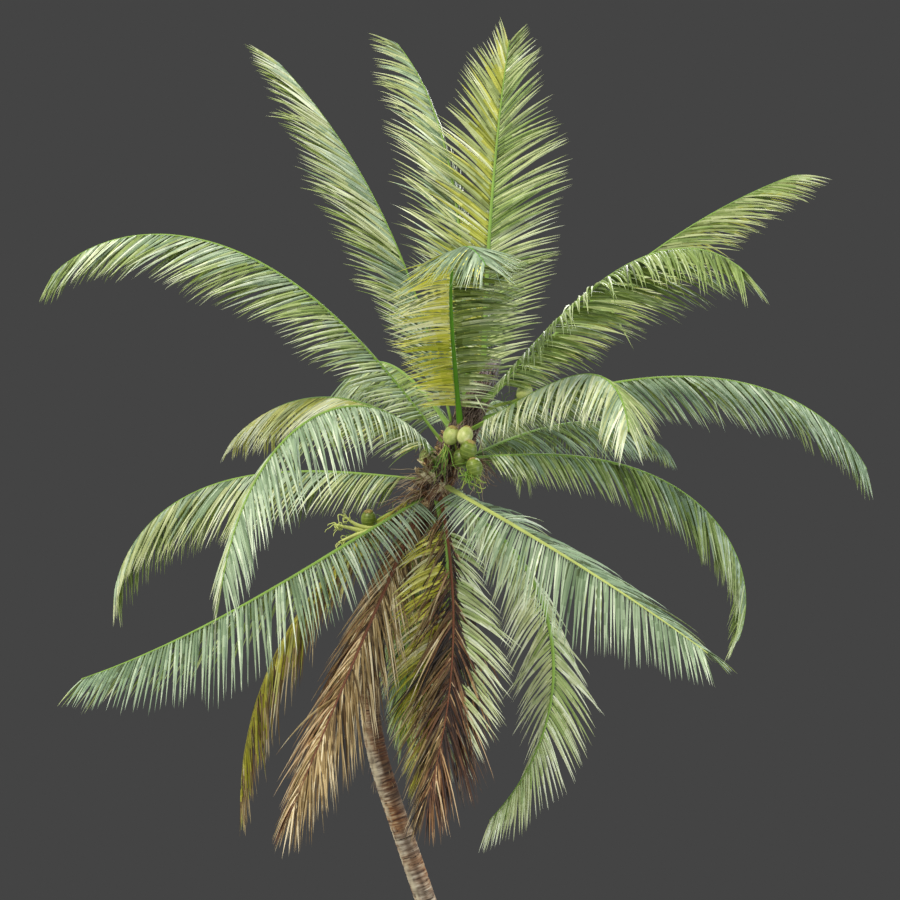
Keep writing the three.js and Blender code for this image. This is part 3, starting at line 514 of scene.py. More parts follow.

# Each stalk has its heading and rise where it springs from the heart, at its seat, 0 low to 1 high.
# It droops by so many degrees to the tip, the later the larger its bend, swings sideways, and is
# turned about itself by its roll and, further out, its twist. stalk is its thickness as a share of
# the usual, rib its tone, and parts the number of nodes that its solid is in.
# The left and right rows of leaflets fold down by fold. They stand open by sweep, wider at the foot
# by splay, sag, and are up to leaf long, less taper at the tip. first is where along the stalk they
# start, leaflets how many are in a row, and broad their width as a share of the usual. upper and
# under give the tones painted on each row's sunny and shaded sides: the ladder near the rib, the one
# further out, and how far up it the leaflets are. Most shaded sides take the darker shade ladder,
# painted shade. A row that the key light falls on or shines through is given a yellower, paler tint
# than the other row, painted light: in part the left row of frond_01, and the glowing rows of frond_04
# and frond_22.
SHADE = ("shade", "meadow", 3.0)
FRONDS = {
    # Its left row's gold is in part painted light, where the key light falls.
    "frond_01": dict(
        heading=40, seat=1, rise=88.2, droop=8.4, bend=1.3, swing=-7, length=5.13, roll=45,
        fold=(5, 20), sweep=0.82, sag=0.25, leaf=1.25, taper=0.75, leaflets=130, broad=1.15,
        upper=(("gold", "cream", 3.2), ("meadow", "cream", 2.9))),
    "frond_02": dict(
        heading=115, seat=0.95, rise=86.5, droop=45.7, bend=2, swing=20, length=5.76,
        fold=(50, 50), sweep=0.62, sag=0.35, leaf=1.26, leaflets=130,
        upper=(("sea", "cream", 3.0), ("sea", "cream", 3.1))),
    "frond_03": dict(
        heading=178, seat=0.75, rise=76, droop=31.5, bend=1.55, swing=7, length=5.7,
        fold=(60, 60), sweep=0.62, sag=0.2, leaf=1.22,
        upper=(("sea", "cream", 4.2), ("gold", "cream", 3.9))),
    # The yellow of its right row's under side is painted light shining through.
    "frond_04": dict(
        heading=255, seat=0.75, rise=69.5, droop=107, bend=1.38, swing=35, length=4.85, stalk=0.8,
        fold=(10, 30), sweep=1, sag=0.3, leaf=1.1, leaflets=150, broad=1.12, rib="dark_rib", parts=2,
        upper=(("sea", "sea", 2.5), ("sea", "sea", 2.5)),
        under=(("shade", "meadow", 4.6), ("glow", "glow", 3.9))),
    "frond_05": dict(
        heading=8, seat=1, rise=44.5, droop=26, bend=1.9, swing=-4, length=5.5,
        fold=(50, 50), sweep=0.65, sag=0.4, leaf=1.15,
        upper=(("meadow", "cream", 2.8), ("meadow", "cream", 2.8)),
        under=(("shade", "gold", 3.2), ("shade", "gold", 3.2))),
    "frond_06": dict(
        heading=-44, seat=1, rise=38.5, droop=82.5, bend=2.5, swing=-10, length=5.3,
        fold=(30, 30), sweep=0.8, sag=0.5, leaf=1.25,
        upper=(("meadow", "sea", 3.2), ("meadow", "meadow", 3.2)), under=(("shade", "meadow", 3.4), SHADE)),
    "frond_07": dict(
        heading=188, seat=0.6, rise=52, droop=101.5, bend=2.15, swing=-23, length=6.87,
        fold=(58, 58), sweep=0.8, sag=0.3, leaf=1.12, parts=2,
        upper=(("sea", "meadow", 4.3), ("sea", "cream", 4.5))),
    "frond_08": dict(
        heading=95, seat=0.85, rise=50, droop=75, bend=1.8, swing=-8, length=5.4,
        fold=(40, 40), sweep=0.8, sag=0.5, leaf=1.15,
        upper=(("meadow", "sea", 3.6), ("sea", "cream", 3.6))),
    "frond_09": dict(
        heading=-5, seat=0.85, rise=17, droop=83, bend=2.1, swing=12, length=5.92,
        fold=(50, 50), sweep=0.8, sag=0.5, leaf=1.02, parts=2,
        upper=(("sea", "sea", 3.2), ("sea", "sea", 3.3))),
    "frond_10": dict(
        heading=-43, seat=0.75, rise=22, droop=76, bend=2.05, swing=-46, length=4.7,
        fold=(30, 35), sweep=0.85, sag=0.7, leaf=1.05,
        upper=(("meadow", "cream", 3.8), ("sea", "cream", 4.6))),
    "frond_11": dict(
        heading=118, seat=0.7, rise=34, droop=80, bend=1.6, swing=-10, length=5.3,
        fold=(45, 45), sweep=0.8, sag=0.7, leaf=1.15,
        upper=(("meadow", "sea", 3.6), ("sea", "cream", 3.6))),
    "frond_12": dict(
        heading=74, seat=0.6, rise=24, droop=85, bend=1.7, swing=6, length=5.3,
        fold=(45, 45), sweep=0.8, sag=0.8, leaf=1,
        upper=(("sea", "meadow", 3.6), ("sea", "cream", 3.6))),
    "frond_13": dict(
        heading=228, seat=0.4, rise=59.5, droop=138, bend=0.75, swing=13.5, length=5.7,
        fold=(20, 40), sweep=0.8, sag=0.7, leaf=1.2, parts=2,
        upper=(("sea", "sea", 4.1), ("sea", "cream", 4.6))),
    "frond_14": dict(
        heading=141, seat=0.45, rise=52.5, droop=83, bend=0.67, swing=-15, length=5.1,
        fold=(40, 40), sweep=0.7, sag=0.7, leaf=1.05, parts=2,
        upper=(("gold", "cream", 4.4), ("gold", "cream", 4.2)),
        under=(("gold", "gold", 3.2), ("gold", "gold", 3.2))),
    "frond_15": dict(
        heading=0, seat=0.5, rise=3.5, droop=124, bend=2, swing=2.5, length=5.58,
        fold=(55, 55), sweep=0.75, sag=0.6, leaf=0.9, parts=2,
        upper=(("sea", "meadow", 3.2), ("sea", "meadow", 3.5))),
    "frond_16": dict(
        heading=43, seat=0.45, rise=18, droop=49, bend=1.85, swing=5, length=4.9,
        fold=(40, 40), sweep=0.8, sag=1.0, leaf=0.85,
        upper=(("meadow", "meadow", 2.6), ("meadow", "sea", 2.6)),
        under=(("shade", "shade", 2.4), ("shade", "gold", 2.6))),
    "frond_17": dict(
        heading=170, seat=0.3, rise=5, droop=90, bend=2.35, swing=-16, length=5.62,
        fold=(50, 50), sweep=0.8, sag=0.8, leaf=1.15, parts=2,
        upper=(("sea", "cream", 3.3), ("sea", "cream", 3.6))),
    "frond_18": dict(
        heading=-55, seat=0.26, rise=-17.5, droop=8.5, bend=1.7, swing=5.5, length=5.45, roll=8,
        fold=(14, 50), sweep=1, splay=72, sag=0.6, leaf=1.05, first=0.012, rib="yellow_rib",
        upper=(("sea", "sea", 2.8), ("sea", "sea", 3.2))),
    "frond_19": dict(
        heading=210, seat=0.15, rise=-27.6, droop=-16, bend=2.35, swing=9, length=5.55,
        fold=(50, 50), sweep=1, splay=26, sag=0.5, leaf=1.1, first=0.02,
        upper=(("sea", "sea", 3.2), ("sea", "cream", 2.8))),
    "frond_20": dict(
        heading=102, seat=0.25, rise=-18, droop=75, bend=1.0, swing=-6, length=5.2,
        fold=(35, 35), sweep=0.8, sag=0.8, leaf=1.1,
        upper=(("meadow", "sea", 3.6), ("sea", "cream", 3.6))),
    "frond_21": dict(
        heading=6, seat=0.12, rise=-17, droop=123.5, bend=0.86, swing=8, length=5.4, twist=200,
        fold=(50, 50), sweep=0.85, sag=0.5, leaf=1.1, parts=2,
        upper=(("meadow", "cream", 4.9), ("meadow", "cream", 4.9)),
        under=(("meadow", "cream", 4.0), ("meadow", "cream", 4.0))),
    # The yellow of its right row is painted light shining through.
    "frond_22": dict(
        heading=-60, seat=0.15, rise=-61, droop=12, bend=0.4, swing=-81, length=3.89,
        fold=(20, 0), sweep=1.1, sag=0.8, leaf=1.12, first=0.13,
        upper=(("meadow", "cream", 4.4), ("glow", "olive", 3.6)),
        under=(("meadow", "cream", 4.0), ("glow", "olive", 3.9))),
    "dying_frond": dict(
        heading=195, seat=0.25, rise=-34, droop=58, bend=1.3, swing=6, length=5.15, stalk=0.7,
        fold=(45, 30), sweep=0.4, sag=0.8, leaf=1.2, leaflets=170, rib="olive_rib",
        upper=(("olive", "dry", 3.1), ("olive", "olive", 3.6)),
        under=(("dry", "russet", 2.6), ("olive", "olive", 2.6))),
    "dead_frond_left": dict(
        heading=228, seat=0.1, rise=-56, droop=5, bend=0.97, swing=-4.2, length=4.6, roll=-38, stalk=0.7,
        fold=(5, 42), sweep=0.46, sag=0.5, leaf=1.4, leaflets=270, rib="brown_rib",
        upper=(("dry", "dry", 3.7), ("dry", "russet", 4.1)),
        under=(("dry", "dry", 3.6), ("russet", "dry", 3.6))),
    "dead_frond_front": dict(
        heading=300, seat=0.2, rise=-67.1, droop=-2.9, bend=0.99, swing=-72, length=4.37, stalk=0.6,
        fold=(40, 8), sweep=0.56, sag=0.4, leaf=1.42, leaflets=240, rib="brown_rib",
        upper=(("russet", "russet", 2.1), ("russet", "dry", 2.0)),
        under=(("russet", "russet", 2.0), ("russet", "dry", 2.0))),
}


def frond_line(frond):
    """The run of a stalk: its elevation falls from the rise by droop s ^ bend, its heading swings
    evenly, and each place is the sum of the steps before it. across is level and to the left, up
    is the blade's upper side, and roll + twist s turns both about the way along."""
    s = np.linspace(0, 1, LINE_STEPS + 1)
    elevation = np.radians(frond["rise"] - frond["droop"] * s ** frond["bend"])
    heading = np.radians(frond["heading"] + frond["swing"] * s)
    roll = np.radians(frond.get("roll", 0) + frond.get("twist", 0) * s)[:, None]
    along = np.stack([np.cos(heading) * np.cos(elevation), np.sin(heading) * np.cos(elevation),
                      np.sin(elevation)], -1)
    level = np.stack([-np.sin(heading), np.cos(heading), 0 * s], -1)
    across = level * np.cos(roll) + np.cross(along, level) * np.sin(roll)
    out = np.array([math.cos(heading[0]), math.sin(heading[0]), 0])
    steps = np.vstack([np.zeros(3), np.cumsum(along[:-1], 0)]) * frond["length"] / LINE_STEPS
    places = seat_point(frond["seat"]) + STALK_SEAT * out + steps
    return {"s": s, "place": places, "along": along, "across": across, "up": np.cross(along, across)}


def line_at(line, s):
    """The place, way along, across and up at each s of a frond's run."""
    def mixed(key):
        """One of the line's values, between its places."""
        return np.stack([np.interp(s, line["s"], line[key][:, axis]) for axis in range(3)], -1)
    return mixed("place"), unit(mixed("along")), unit(mixed("across")), unit(mixed("up"))


def leaflet_reach(u, taper=TAPER):
    """The share of its full length that a leaflet has at u along its row: it swells by a quarter
    sine to the fullest place, then falls by taper times the way on from there ^ 1.3."""
    swell = FOOT_REACH + (1 - FOOT_REACH) * np.sin(math.pi / 2 * np.minimum(1, u / FULLEST))
    return swell * (1 - taper * (np.maximum(0, u - FULLEST) / (1 - FULLEST)) ** TAPER_BLUNT)


def leaflet_angle(frond, s, u):
    """A leaflet's angle to the stalk, in radians: sweep (74 - 32 u - 20 u ^ 3) degrees, plus
    splay exp(-(s / 0.18) ^ 2) for those at the foot."""
    open_by = frond["sweep"] * (ANGLE_FOOT - ANGLE_FALL * u - ANGLE_CLOSE * np.clip(u, 0, 1) ** 3)
    return np.radians(open_by + frond.get("splay", 0) * np.exp(-(s / SPLAY_REACH) ** 2))


def slow_noise(count, spacing, draw):
    """Normal random values every few leaflets, with straight runs between them."""
    knots = count // spacing + 2
    return np.interp(np.arange(count) / spacing, np.arange(knots), draw.normal(0, 1, knots))


LEAFLETS_A_ROW = 112
LEAFLET_HALF_WIDTH = 0.021
RIDGE_SLOPE, RIDGE_THICKNESS = 0.85, 0.004
ROOT_SHARE = 0.42
BREAK_BEND = 1.4
LEAFLET_STATIONS = np.array([0, 0.04, 0.13, 0.26, 0.41, 0.57, 0.74, 0.89])
LEAFLET_WIDTHS = np.array([0.40, 0.75, 0.97, 1.0, 0.92, 0.72, 0.46, 0.20])


def leaflet_row(frond, line, side, draw, raggedness):
    """One row of leaflets, side 1 on the left and -1 on the right. A leaflet's way at t along it is
    its start less sag t Z, made a unit, and its middle is the sum of those ways. Its section is a
    steep roof: two edges, a ridge above and a ridge below. Neighbours lean together in clumps, and
    whole stretches drift. Gives points (leaflets, rings * 4 + 1, 3) and the middle lines."""
    count = frond.get("leaflets", LEAFLETS_A_ROW)
    row = np.arange(count)
    first = frond.get("first", FIRST_LEAFLET)
    s = first + (LAST_LEAFLET - first) * (row + 0.5 + draw.uniform(-0.3, 0.3, count)) / count
    u = (s - ROW_ZERO) / (1 - ROW_ZERO)
    place, along, across, up = line_at(line, s)

    # What each leaflet has of its own, shares with its neighbours, and shares with its stretch.
    loose = draw.normal(0, 1, (6, count))
    clump = np.stack([slow_noise(count, 4, draw) for _ in range(3)])
    drift = np.stack([slow_noise(count, 9, draw) for _ in range(3)])
    fold_down = frond["fold"][0 if side > 0 else 1]
    fold = np.radians(fold_down + 4 * drift[0] + 4 * clump[0] + (3 + 6 * raggedness) * loose[0])
    uneven = 2 * drift[1] + 3.5 * clump[1] + (1.5 + 5 * raggedness) * loose[1]
    angle = leaflet_angle(frond, s, u) + np.radians(uneven)
    sag = frond["sag"] * (1 + 0.15 * drift[2] + 0.15 * loose[2]) + 0.25 * raggedness * np.abs(loose[3])
    uneven = (1 + 0.05 * clump[2] + 0.03 * loose[4]) * (1 - 0.12 * raggedness * np.abs(loose[5]))
    length = frond["leaf"] * leaflet_reach(u, frond.get("taper", TAPER)) * uneven
    outward = side * np.cos(fold)[:, None] * across - np.sin(fold)[:, None] * up
    start = np.cos(angle)[:, None] * along + np.sin(angle)[:, None] * outward

    # A few leaflets are broken and hang from the place of the break.
    broken = draw.uniform(0, 1, count) < 0.002 + 0.10 * raggedness ** 1.5
    break_at = draw.uniform(0.4, 0.75, count)
    t = np.append(LEAFLET_STATIONS, 1.0)
    between = (t[1:] + t[:-1]) / 2
    past_break = broken[:, None] & (between > break_at[:, None])
    bend = sag[:, None] * between + np.where(past_break, BREAK_BEND, 0)
    way = unit(start[:, None, :] - bend[..., None] * UPRIGHT)
    steps = way * (np.diff(t)[None, :] * length[:, None])[..., None]
    root = place + side * across * (np.interp(s, STALK_STATIONS, STALK_WIDTH) * ROOT_SHARE)[:, None]
    middle = root[:, None, :] + np.concatenate([np.zeros((count, 1, 3)), np.cumsum(steps, 1)], 1)
    ring_way = unit(np.concatenate([way[:, :1], way[:, 1:] + way[:, :-1]], 1))

    edge = along[:, None, :] - (along[:, None, :] * ring_way).sum(-1, keepdims=True) * ring_way
    edge = unit(edge)
    face = -side * np.cross(ring_way, edge)
    twist = np.radians(draw.normal(0, 12 + 20 * raggedness, count)[:, None]
                       + draw.normal(0, 24 + 40 * raggedness, count)[:, None] * t[:-1])[..., None]
    edge, face = edge * np.cos(twist) + face * np.sin(twist), face * np.cos(twist) - edge * np.sin(twist)

    half = LEAFLET_HALF_WIDTH * frond.get("broad", 1) * (0.6 + 0.4 * leaflet_reach(u))
    half = half * draw.uniform(0.85, 1.15, count)
    half = (half[:, None] * LEAFLET_WIDTHS * (1 - 0.3 * raggedness))[..., None]
    ridge = face * RIDGE_SLOPE * half
    thin = face * (RIDGE_THICKNESS * (1 - 0.6 * t[:-1]))[None, :, None]
    centre = middle[:, :-1]
    rings = np.stack([centre - edge * half, centre + ridge, centre + edge * half, centre + ridge - thin], 2)
    if side < 0:
        rings = rings[:, :, ::-1]
    points = np.concatenate([rings.reshape(count, -1, 3), middle[:, -1:]], 1)
    return points, middle


LIMB_GAP = 0.2
limb_core = np.vstack([
    stem_line(np.linspace(2, STEM_HEIGHT, 60)),
    heart_foot + np.outer(np.linspace(0.1, 1.9, 14), heart_way),
])


def clear_of_limbs(middle):
    """Which leaflets keep off the stem and the heart: past its root, no middle line comes within the
    gap of the core of either."""
    gap = np.linalg.norm(middle[:, 2:, None, :] - limb_core[None, None], axis=-1).min((1, 2))
    return gap > LIMB_GAP


# Tones of a leaflet: each ladder's roughness and its colours from the deepest to the palest. Wax gives
# a grown leaflet the blue of "sea", which stands in part for the sky reflected in the wax: painted
# reflection. A thicker coat makes it "cream", whose palest tones are in part painted highlight. Young
# ones are "gold". The bright yellow of those that the sun shines through is painted light, and the
# darker "shade" of the under sides is painted shade. An old one turns "olive", then "russet" or
# "dry".
LEAF_LADDERS = {
    # Its blue is in part a painted reflection of the sky.
    "sea": (0.44, "#364420", "#50603C", "#708664", "#8AA07E", "#A3B696", "#BDCCAE", "#DCE6CC"),
    "meadow": (0.46, "#323E10", "#4E5E20", "#6D833C", "#879C54", "#A0B16E", "#BAC792", "#D8E0BA"),
    # Its palest tones are in part painted highlight.
    "cream": (0.46, "#454E1E", "#626C38", "#879459", "#A1AD71", "#B7C08A", "#CCD3A6", "#E2E7C8"),
    "gold": (0.48, "#4C5010", "#6A7022", "#888F34", "#A4A946", "#B9BB56", "#CBCC78", "#E0E0AC"),
    # Painted light: leaflets that the sun shines through.
    "glow": (0.55, "#7A7E10", "#A0A41E", "#C2C430", "#DCD844", "#E8E260", "#F0EC8C", "#F6F4BE"),
    "olive": (0.55, "#3A3206", "#5C560C", "#807C14", "#A19C22", "#BBB53C", "#CEC974", "#E2DEB0"),
    # Painted shade: the under sides of leaflets.
    "shade": (0.5, "#25330A", "#394A10", "#50641A", "#6A7E2A", "#869942", "#A6B566", "#C8D29A"),
    "russet": (0.66, "#180A04", "#2E180C", "#4A2C18", "#684428", "#8A643E", "#AE8C60", "#D2B68E"),
    "dry": (0.66, "#1E1206", "#3A2810", "#5A4322", "#7A6238", "#9C8354", "#C4AD7E", "#E6D5AE"),
}
RUNGS = 7
RIB_TONES = {
    "green_rib": ("#7A9C3C", 0.6),
    "dark_rib": ("#57930A", 0.7),
    "yellow_rib": ("#B0BC66", 0.6),
    "olive_rib": ("#8E8622", 0.55),
    "brown_rib": ("#6E3C20", 0.65),
}


def leaf_finish(name, colour, roughness):
    """Leathery leaf under a thin coat of wax: a soft gloss, with fine veins along the leaflet and
    drifts of tone over 250 mm. The veins are drawn 6 mm apart, some three times too far, so that
    they show."""
    material = new_finish(name)
    place = add_node(material, "TexCoord")
    stretch = add_node(material, "Mapping", {"Scale": (1 / 0.006, 1 / 0.5, 1)},
                       Vector=place.outputs["UV"])
    veins = add_node(material, "TexNoise", {"Scale": 1.0, "Detail": 2.0}, Vector=stretch)
    drift = add_node(material, "TexNoise", {"Scale": 4.0, "Detail": 2.0},
                     Vector=place.outputs["Object"])
    both = add_node(material, "Math", {"operation": "ADD"}, first=veins, second=drift)
    share = add_node(material, "MapRange",
                     {"From Min": 0.7, "From Max": 1.3, "To Min": 0.84, "To Max": 1.16}, Value=both)
    tone = add_node(material, "HueSaturation", {"Color": linear(colour)}, Value=share)
    return close_finish(material, {"Roughness": roughness, "IOR": 1.5}, Base_Color=tone)


leaf_finishes = {
    (ladder, rung): leaf_finish(f"waxy_leaf_{ladder}_{rung}", colour, roughness)
    for ladder, (roughness, *colours) in LEAF_LADDERS.items() for rung, colour in enumerate(colours)
}
rib_finishes = {name: leaf_finish("stalk_" + name, *tone) for name, tone in RIB_TONES.items()}


STALK_SIDES, STALK_RINGS = 14, 110
STALK_GIRTH, STALK_RUN = 0.14, 5.5


def stalk_skin(line, thickness):
    """A stalk's points and their places on its surface, in metres: a round of the stalk's width and
    depth, hollowed on its upper side near the foot by exp(-(1.6 x) ^ 2), x being 1 at its edges, and
    roofed by a ridge further out."""
    s = np.linspace(0, 1, STALK_RINGS) ** 1.25 * (LAST_LEAFLET + 0.01)
    place, _, across, up = line_at(line, s)
    half_width = thickness * np.interp(s, STALK_STATIONS, STALK_WIDTH) / 2
    half_depth = thickness * np.interp(s, STALK_STATIONS, STALK_DEPTH) / 2
    turns = np.arange(STALK_SIDES) / STALK_SIDES
    sideways = np.cos(2 * math.pi * turns)[None, :] * np.ones((STALK_RINGS, 1))
    upright = np.sin(2 * math.pi * turns)[None, :]
    hollow = (0.75 * (1 - smooth(s, 0.05, 0.2)) - 0.35 * smooth(s, 0.15, 0.3))[:, None]
    height = upright - hollow * np.clip(upright, 0, 1) * np.exp(-(1.6 * sideways) ** 2)
    points = (place[:, None, :] + (half_width[:, None] * sideways)[..., None] * across[:, None, :]
              + (half_depth[:, None] * height)[..., None] * up[:, None, :])
    uv = np.stack(np.broadcast_arrays(turns[None, :] * STALK_GIRTH, s[:, None] * STALK_RUN), -1)
    return points.reshape(-1, 3), uv.reshape(-1, 2)


# A leaflet's faces: its sides, its root and its tip. Its place on the surface runs over a width of
# 24 mm each way from edge to ridge, and each leaflet is shifted, so that no two have the same veins.
RINGS = len(LEAFLET_STATIONS)
BANDS = RINGS + 1
last_ring = (RINGS - 1) * 4 + np.arange(4)
next_on_ring = (RINGS - 1) * 4 + (np.arange(4) + 1) % 4
leaflet_faces = [
    ring_faces(RINGS, 4),
    np.array([[3, 2, 1, 0]]),
    np.stack([last_ring, next_on_ring, np.full(4, RINGS * 4)], -1),
]
leaflet_uv = np.stack([
    np.append(np.tile([0, 0.024, 0.048, 0.024], RINGS), 0.024),
    np.append(np.repeat(LEAFLET_STATIONS, 4), 1.0),
], -1)
UV_SHIFT = 0.37
RISE_TO_TIP = 1.9
SPREAD, DRY_SPREAD = 0.95, 1.75


def leaflet_tones(tones, tint, count, draw):
    """The tone of each leaflet in each of its bands from root to tip, as a place in tones. A
    leaflet's height up the ladder is the tint's, plus what it shares with its neighbours, plus its
    own, and it climbs towards the tip. Somewhere along it the near ladder gives way to the far."""
    near, far, middle = tint
    spread = DRY_SPREAD if near in ("dry", "russet") else SPREAD
    own = middle + 0.7 * spread * (slow_noise(count, 5, draw) + draw.normal(0, 1, count))
    along = np.linspace(-0.45, 0.55, BANDS) * RISE_TO_TIP
    height = own[:, None] + along[None, :] + 0.3 * draw.normal(0, 1, (count, BANDS))
    rung = np.clip(np.rint(height), 0, RUNGS - 1).astype(int)
    is_far = np.arange(BANDS)[None, :] >= draw.integers(0, BANDS, count)[:, None]
    lookup = np.array([[tones.index((ladder, k)) for k in range(RUNGS)] for ladder in (near, far)])
    return lookup[is_far.astype(int), rung]


def joined(parts):
    """Several (points, faces, tones) pieces as one: their points, their faces and each face's tone.
    tones is one for the whole piece or one a face."""
    points, faces, dealt, first = [], [], [], 0
    for some_points, some_faces, tones in parts:
        points.append(some_points)
        faces += [face + first for face in some_faces]
        dealt.append(np.broadcast_to(tones, sum(len(face) for face in some_faces)))
        first += len(some_points)
    return np.vstack(points), faces, np.concatenate(dealt)


def frond_pieces(name, frond, seed):
    """A frond's stalk and its two rows of leaflets, the left row first. Raggedness is 0 on a fresh
    frond and 1 on a dead one."""
    draw = np.random.default_rng(seed)
    line = frond_line(frond)
    dry = "dead" in name or "dying" in name
    raggedness = 1.0 if "dead" in name else 0.6 if dry else 0.12
    lost_share = 0.08 if dry else 0.01
    stalk_points, stalk_uv = stalk_skin(line, frond.get("stalk", 1))
    stalk = lay_mesh(name + "_stalk", stalk_points, closed_rings(STALK_RINGS, STALK_SIDES),
                     [rib_finishes[frond.get("rib", "green_rib")]], uv=stalk_uv)

    under = frond.get("under", (SHADE, SHADE))
    ladders = sorted({ladder for tint in (*frond["upper"], *under) for ladder in tint[:2]})
    tones = [(ladder, rung) for ladder in ladders for rung in range(RUNGS)]
    rows, row_uv = [], []
    for side, sunny, shaded in zip((1, -1), frond["upper"], under):
        points, middle = leaflet_row(frond, line, side, draw, raggedness)
        count = len(points)
        kept = (draw.uniform(0, 1, count) >= lost_share) & clear_of_limbs(middle)
        above = leaflet_tones(tones, sunny, count, draw)[kept]
        below = leaflet_tones(tones, shaded, count, draw)[kept]
        number = len(above)
        # Two neighbouring faces of each ring are the roof, which takes the sunny tones, and the other two
        # look down and take the shaded side's tones, mostly painted shade.
        roof = np.isin(np.arange(4), (1, 2) if side < 0 else (0, 1))
        dealt = np.where(roof[None, None, :], above[:, :, None], below[:, :, None])
        face_tones = np.concatenate([dealt[:, 1:-1].ravel(), below[:, 0], dealt[:, -1].ravel()])
        rows.append((points[kept].reshape(-1, 3), repeated(leaflet_faces, number, RINGS * 4 + 1), face_tones))
        shift = np.stack([np.arange(number) * UV_SHIFT, np.zeros(number)], -1)[:, None, :]
        row_uv.append((leaflet_uv[None] + shift).reshape(-1, 2))
    leaflet_points, faces, face_tones = joined(rows)
    leaflets = lay_mesh(name + "_leaflets", leaflet_points, faces, [leaf_finishes[tone] for tone in tones],
                        dealt=face_tones, smooth_faces=False, uv=np.vstack(row_uv))
    nodes = [name + "_base", name + "_tip"] if frond.get("parts") else [name]
    for piece in (stalk, leaflets):
        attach(piece, "root")
    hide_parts(*nodes)


for number, (name, frond) in enumerate(FRONDS.items()):
    frond_pieces(name, frond, 100 + number)


# ---------------------------------------------------------------- coconuts
# Green coconuts, each a smooth waxy husk of three faint sides on a cap of small woody scales. They
# hang on the thick green stalk of the flower cluster that they grew from, whose thin side twigs
# are left on it, green and curled.

BUNCHES = {
    "front": dict(seat=0.4, bend=(-0.56, -0.3, 9.18), end=(-0.44, -0.42, 8.79), nuts=[
        (-0.688, -0.33, 9.26), (-0.5, -0.39, 9.26), (-0.459, -0.45, 9.07), (-0.553, -0.3, 8.962),
        (-0.378, -0.47, 8.84)]),
    "left": dict(seat=0.1, bend=(-1.5, 0.04, 8.26), end=(-2.12, 0.05, 7.86), nuts=[(-1.8, 0.06, 8.13)]),
    "right": dict(seat=0.9, bend=(0.06, 0.18, 9.68), end=(0.26, 0.2, 9.8), nuts=[(0.31, 0.19, 9.85)]),
    "back": dict(seat=0.33, bend=(-0.85, 0.33, 8.93), end=(-0.9, 0.44, 8.74), nuts=[
        (-1.02, 0.38, 8.97), (-0.82, 0.43, 9.01), (-0.96, 0.5, 8.81), (-0.79, 0.46, 8.79),
        (-0.9, 0.58, 8.95)]),
}
# Each nut's husk tone by number, in part painted light and shade by where the nut hangs.
HUSK_TONES = {"front": [1, 0, 2, 3, 2], "left": [2], "right": [1], "back": [1, 2, 3, 2, 3]}
NUT_RADIUS, NUT_LENGTH = 0.108, 0.25
NUT_SIDES, NUT_RINGS = 36, 28
BUNCH_RADII = [0.034, 0.026, 0.012]
NUT_STALK_RADIUS, SIDE_TWIG_RADIUS = 0.012, 0.006

# Waxy husks: a smooth skin with a soft gloss, from deep green to cream. The four tones are in part
# the nuts' own colour and in part painted light and shade: cream on nuts the light falls on and deep
# green on nuts in the shade. Clouds of tone some 110 mm across, faint rings and brown freckles 14 mm
# apart keep it from looking like plastic.
husk_finishes = []
for name, colour, blush, ring_tone, ring_strength in (
    ("cream", "#D6D79A", "#A3B25E", "#DDD9A8", "#303030"),
    ("light", "#C4CA80", "#8DA24C", "#D2D096", "#404040"),
    ("green", "#7E9038", "#586C24", "#A0AC5C", "#B0B0B0"),
    ("deep", "#6C7E30", "#485C22", "#8E9C4C", "#B0B0B0"),
):
    husk = new_finish("waxy_husk_" + name)
    place = add_node(husk, "TexCoord")
    clouds = add_node(husk, "TexNoise", {"Scale": 9.0, "Detail": 4.0},
                      Vector=place.outputs["Object"])
    skin = add_node(husk, "ValToRGB", {"steps": [(0.35, blush), (0.65, colour)]}, Fac=clouds)
    grown = add_node(husk, "Attribute", {"attribute_name": "rise"})
    rings = add_node(husk, "Math", {"operation": "PINGPONG", "second": 0.07},
                     first=grown.outputs["Fac"])
    ring_share = add_node(husk, "ValToRGB",
                          {"steps": [(0.048, "#000000"), (0.066, ring_strength)]}, Fac=rings)
    skin = add_node(husk, "Mix", {"data_type": "RGBA", "second": linear(ring_tone)},
                    Factor=ring_share, first=skin)
    freckles = add_node(husk, "TexNoise", {"Scale": 70.0, "Detail": 2.0},
                        Vector=place.outputs["Object"])
    freckle_share = add_node(husk, "ValToRGB",
                             {"steps": [(0.66, "#000000"), (0.74, "#FFFFFF")]}, Fac=freckles)
    skin = add_node(husk, "Mix", {"data_type": "RGBA", "second": linear("#7A6636")},
                    Factor=freckle_share, first=skin)
    husk_finishes.append(close_finish(husk, {"Roughness": 0.42, "IOR": 1.45}, Base_Color=skin))

# Stalks and twigs are smooth and a little glossy while they live, and matt once dry.
cap_finish = leaf_finish("woody_nut_cap", "#9A8A4E", 0.7)
stalk_finish = leaf_finish("green_flower_stalk", "#9DAE3E", 0.45)
twig_finishes = [
    leaf_finish("green_flower_twig", "#6F9036", 0.45),
    leaf_finish("yellow_flower_twig", "#9BAB4E", 0.45),
    leaf_finish("dry_flower_twig_straw", "#C2AC8A", 0.75),
    leaf_finish("dry_flower_twig_brown", "#7A5A40", 0.75),
]


CAP_REACH = np.array([0.012, 0.052, 0.058, 0.040, 0.014])
CAP_RISE = np.array([0.108, 0.100, 0.116, 0.134, 0.142])


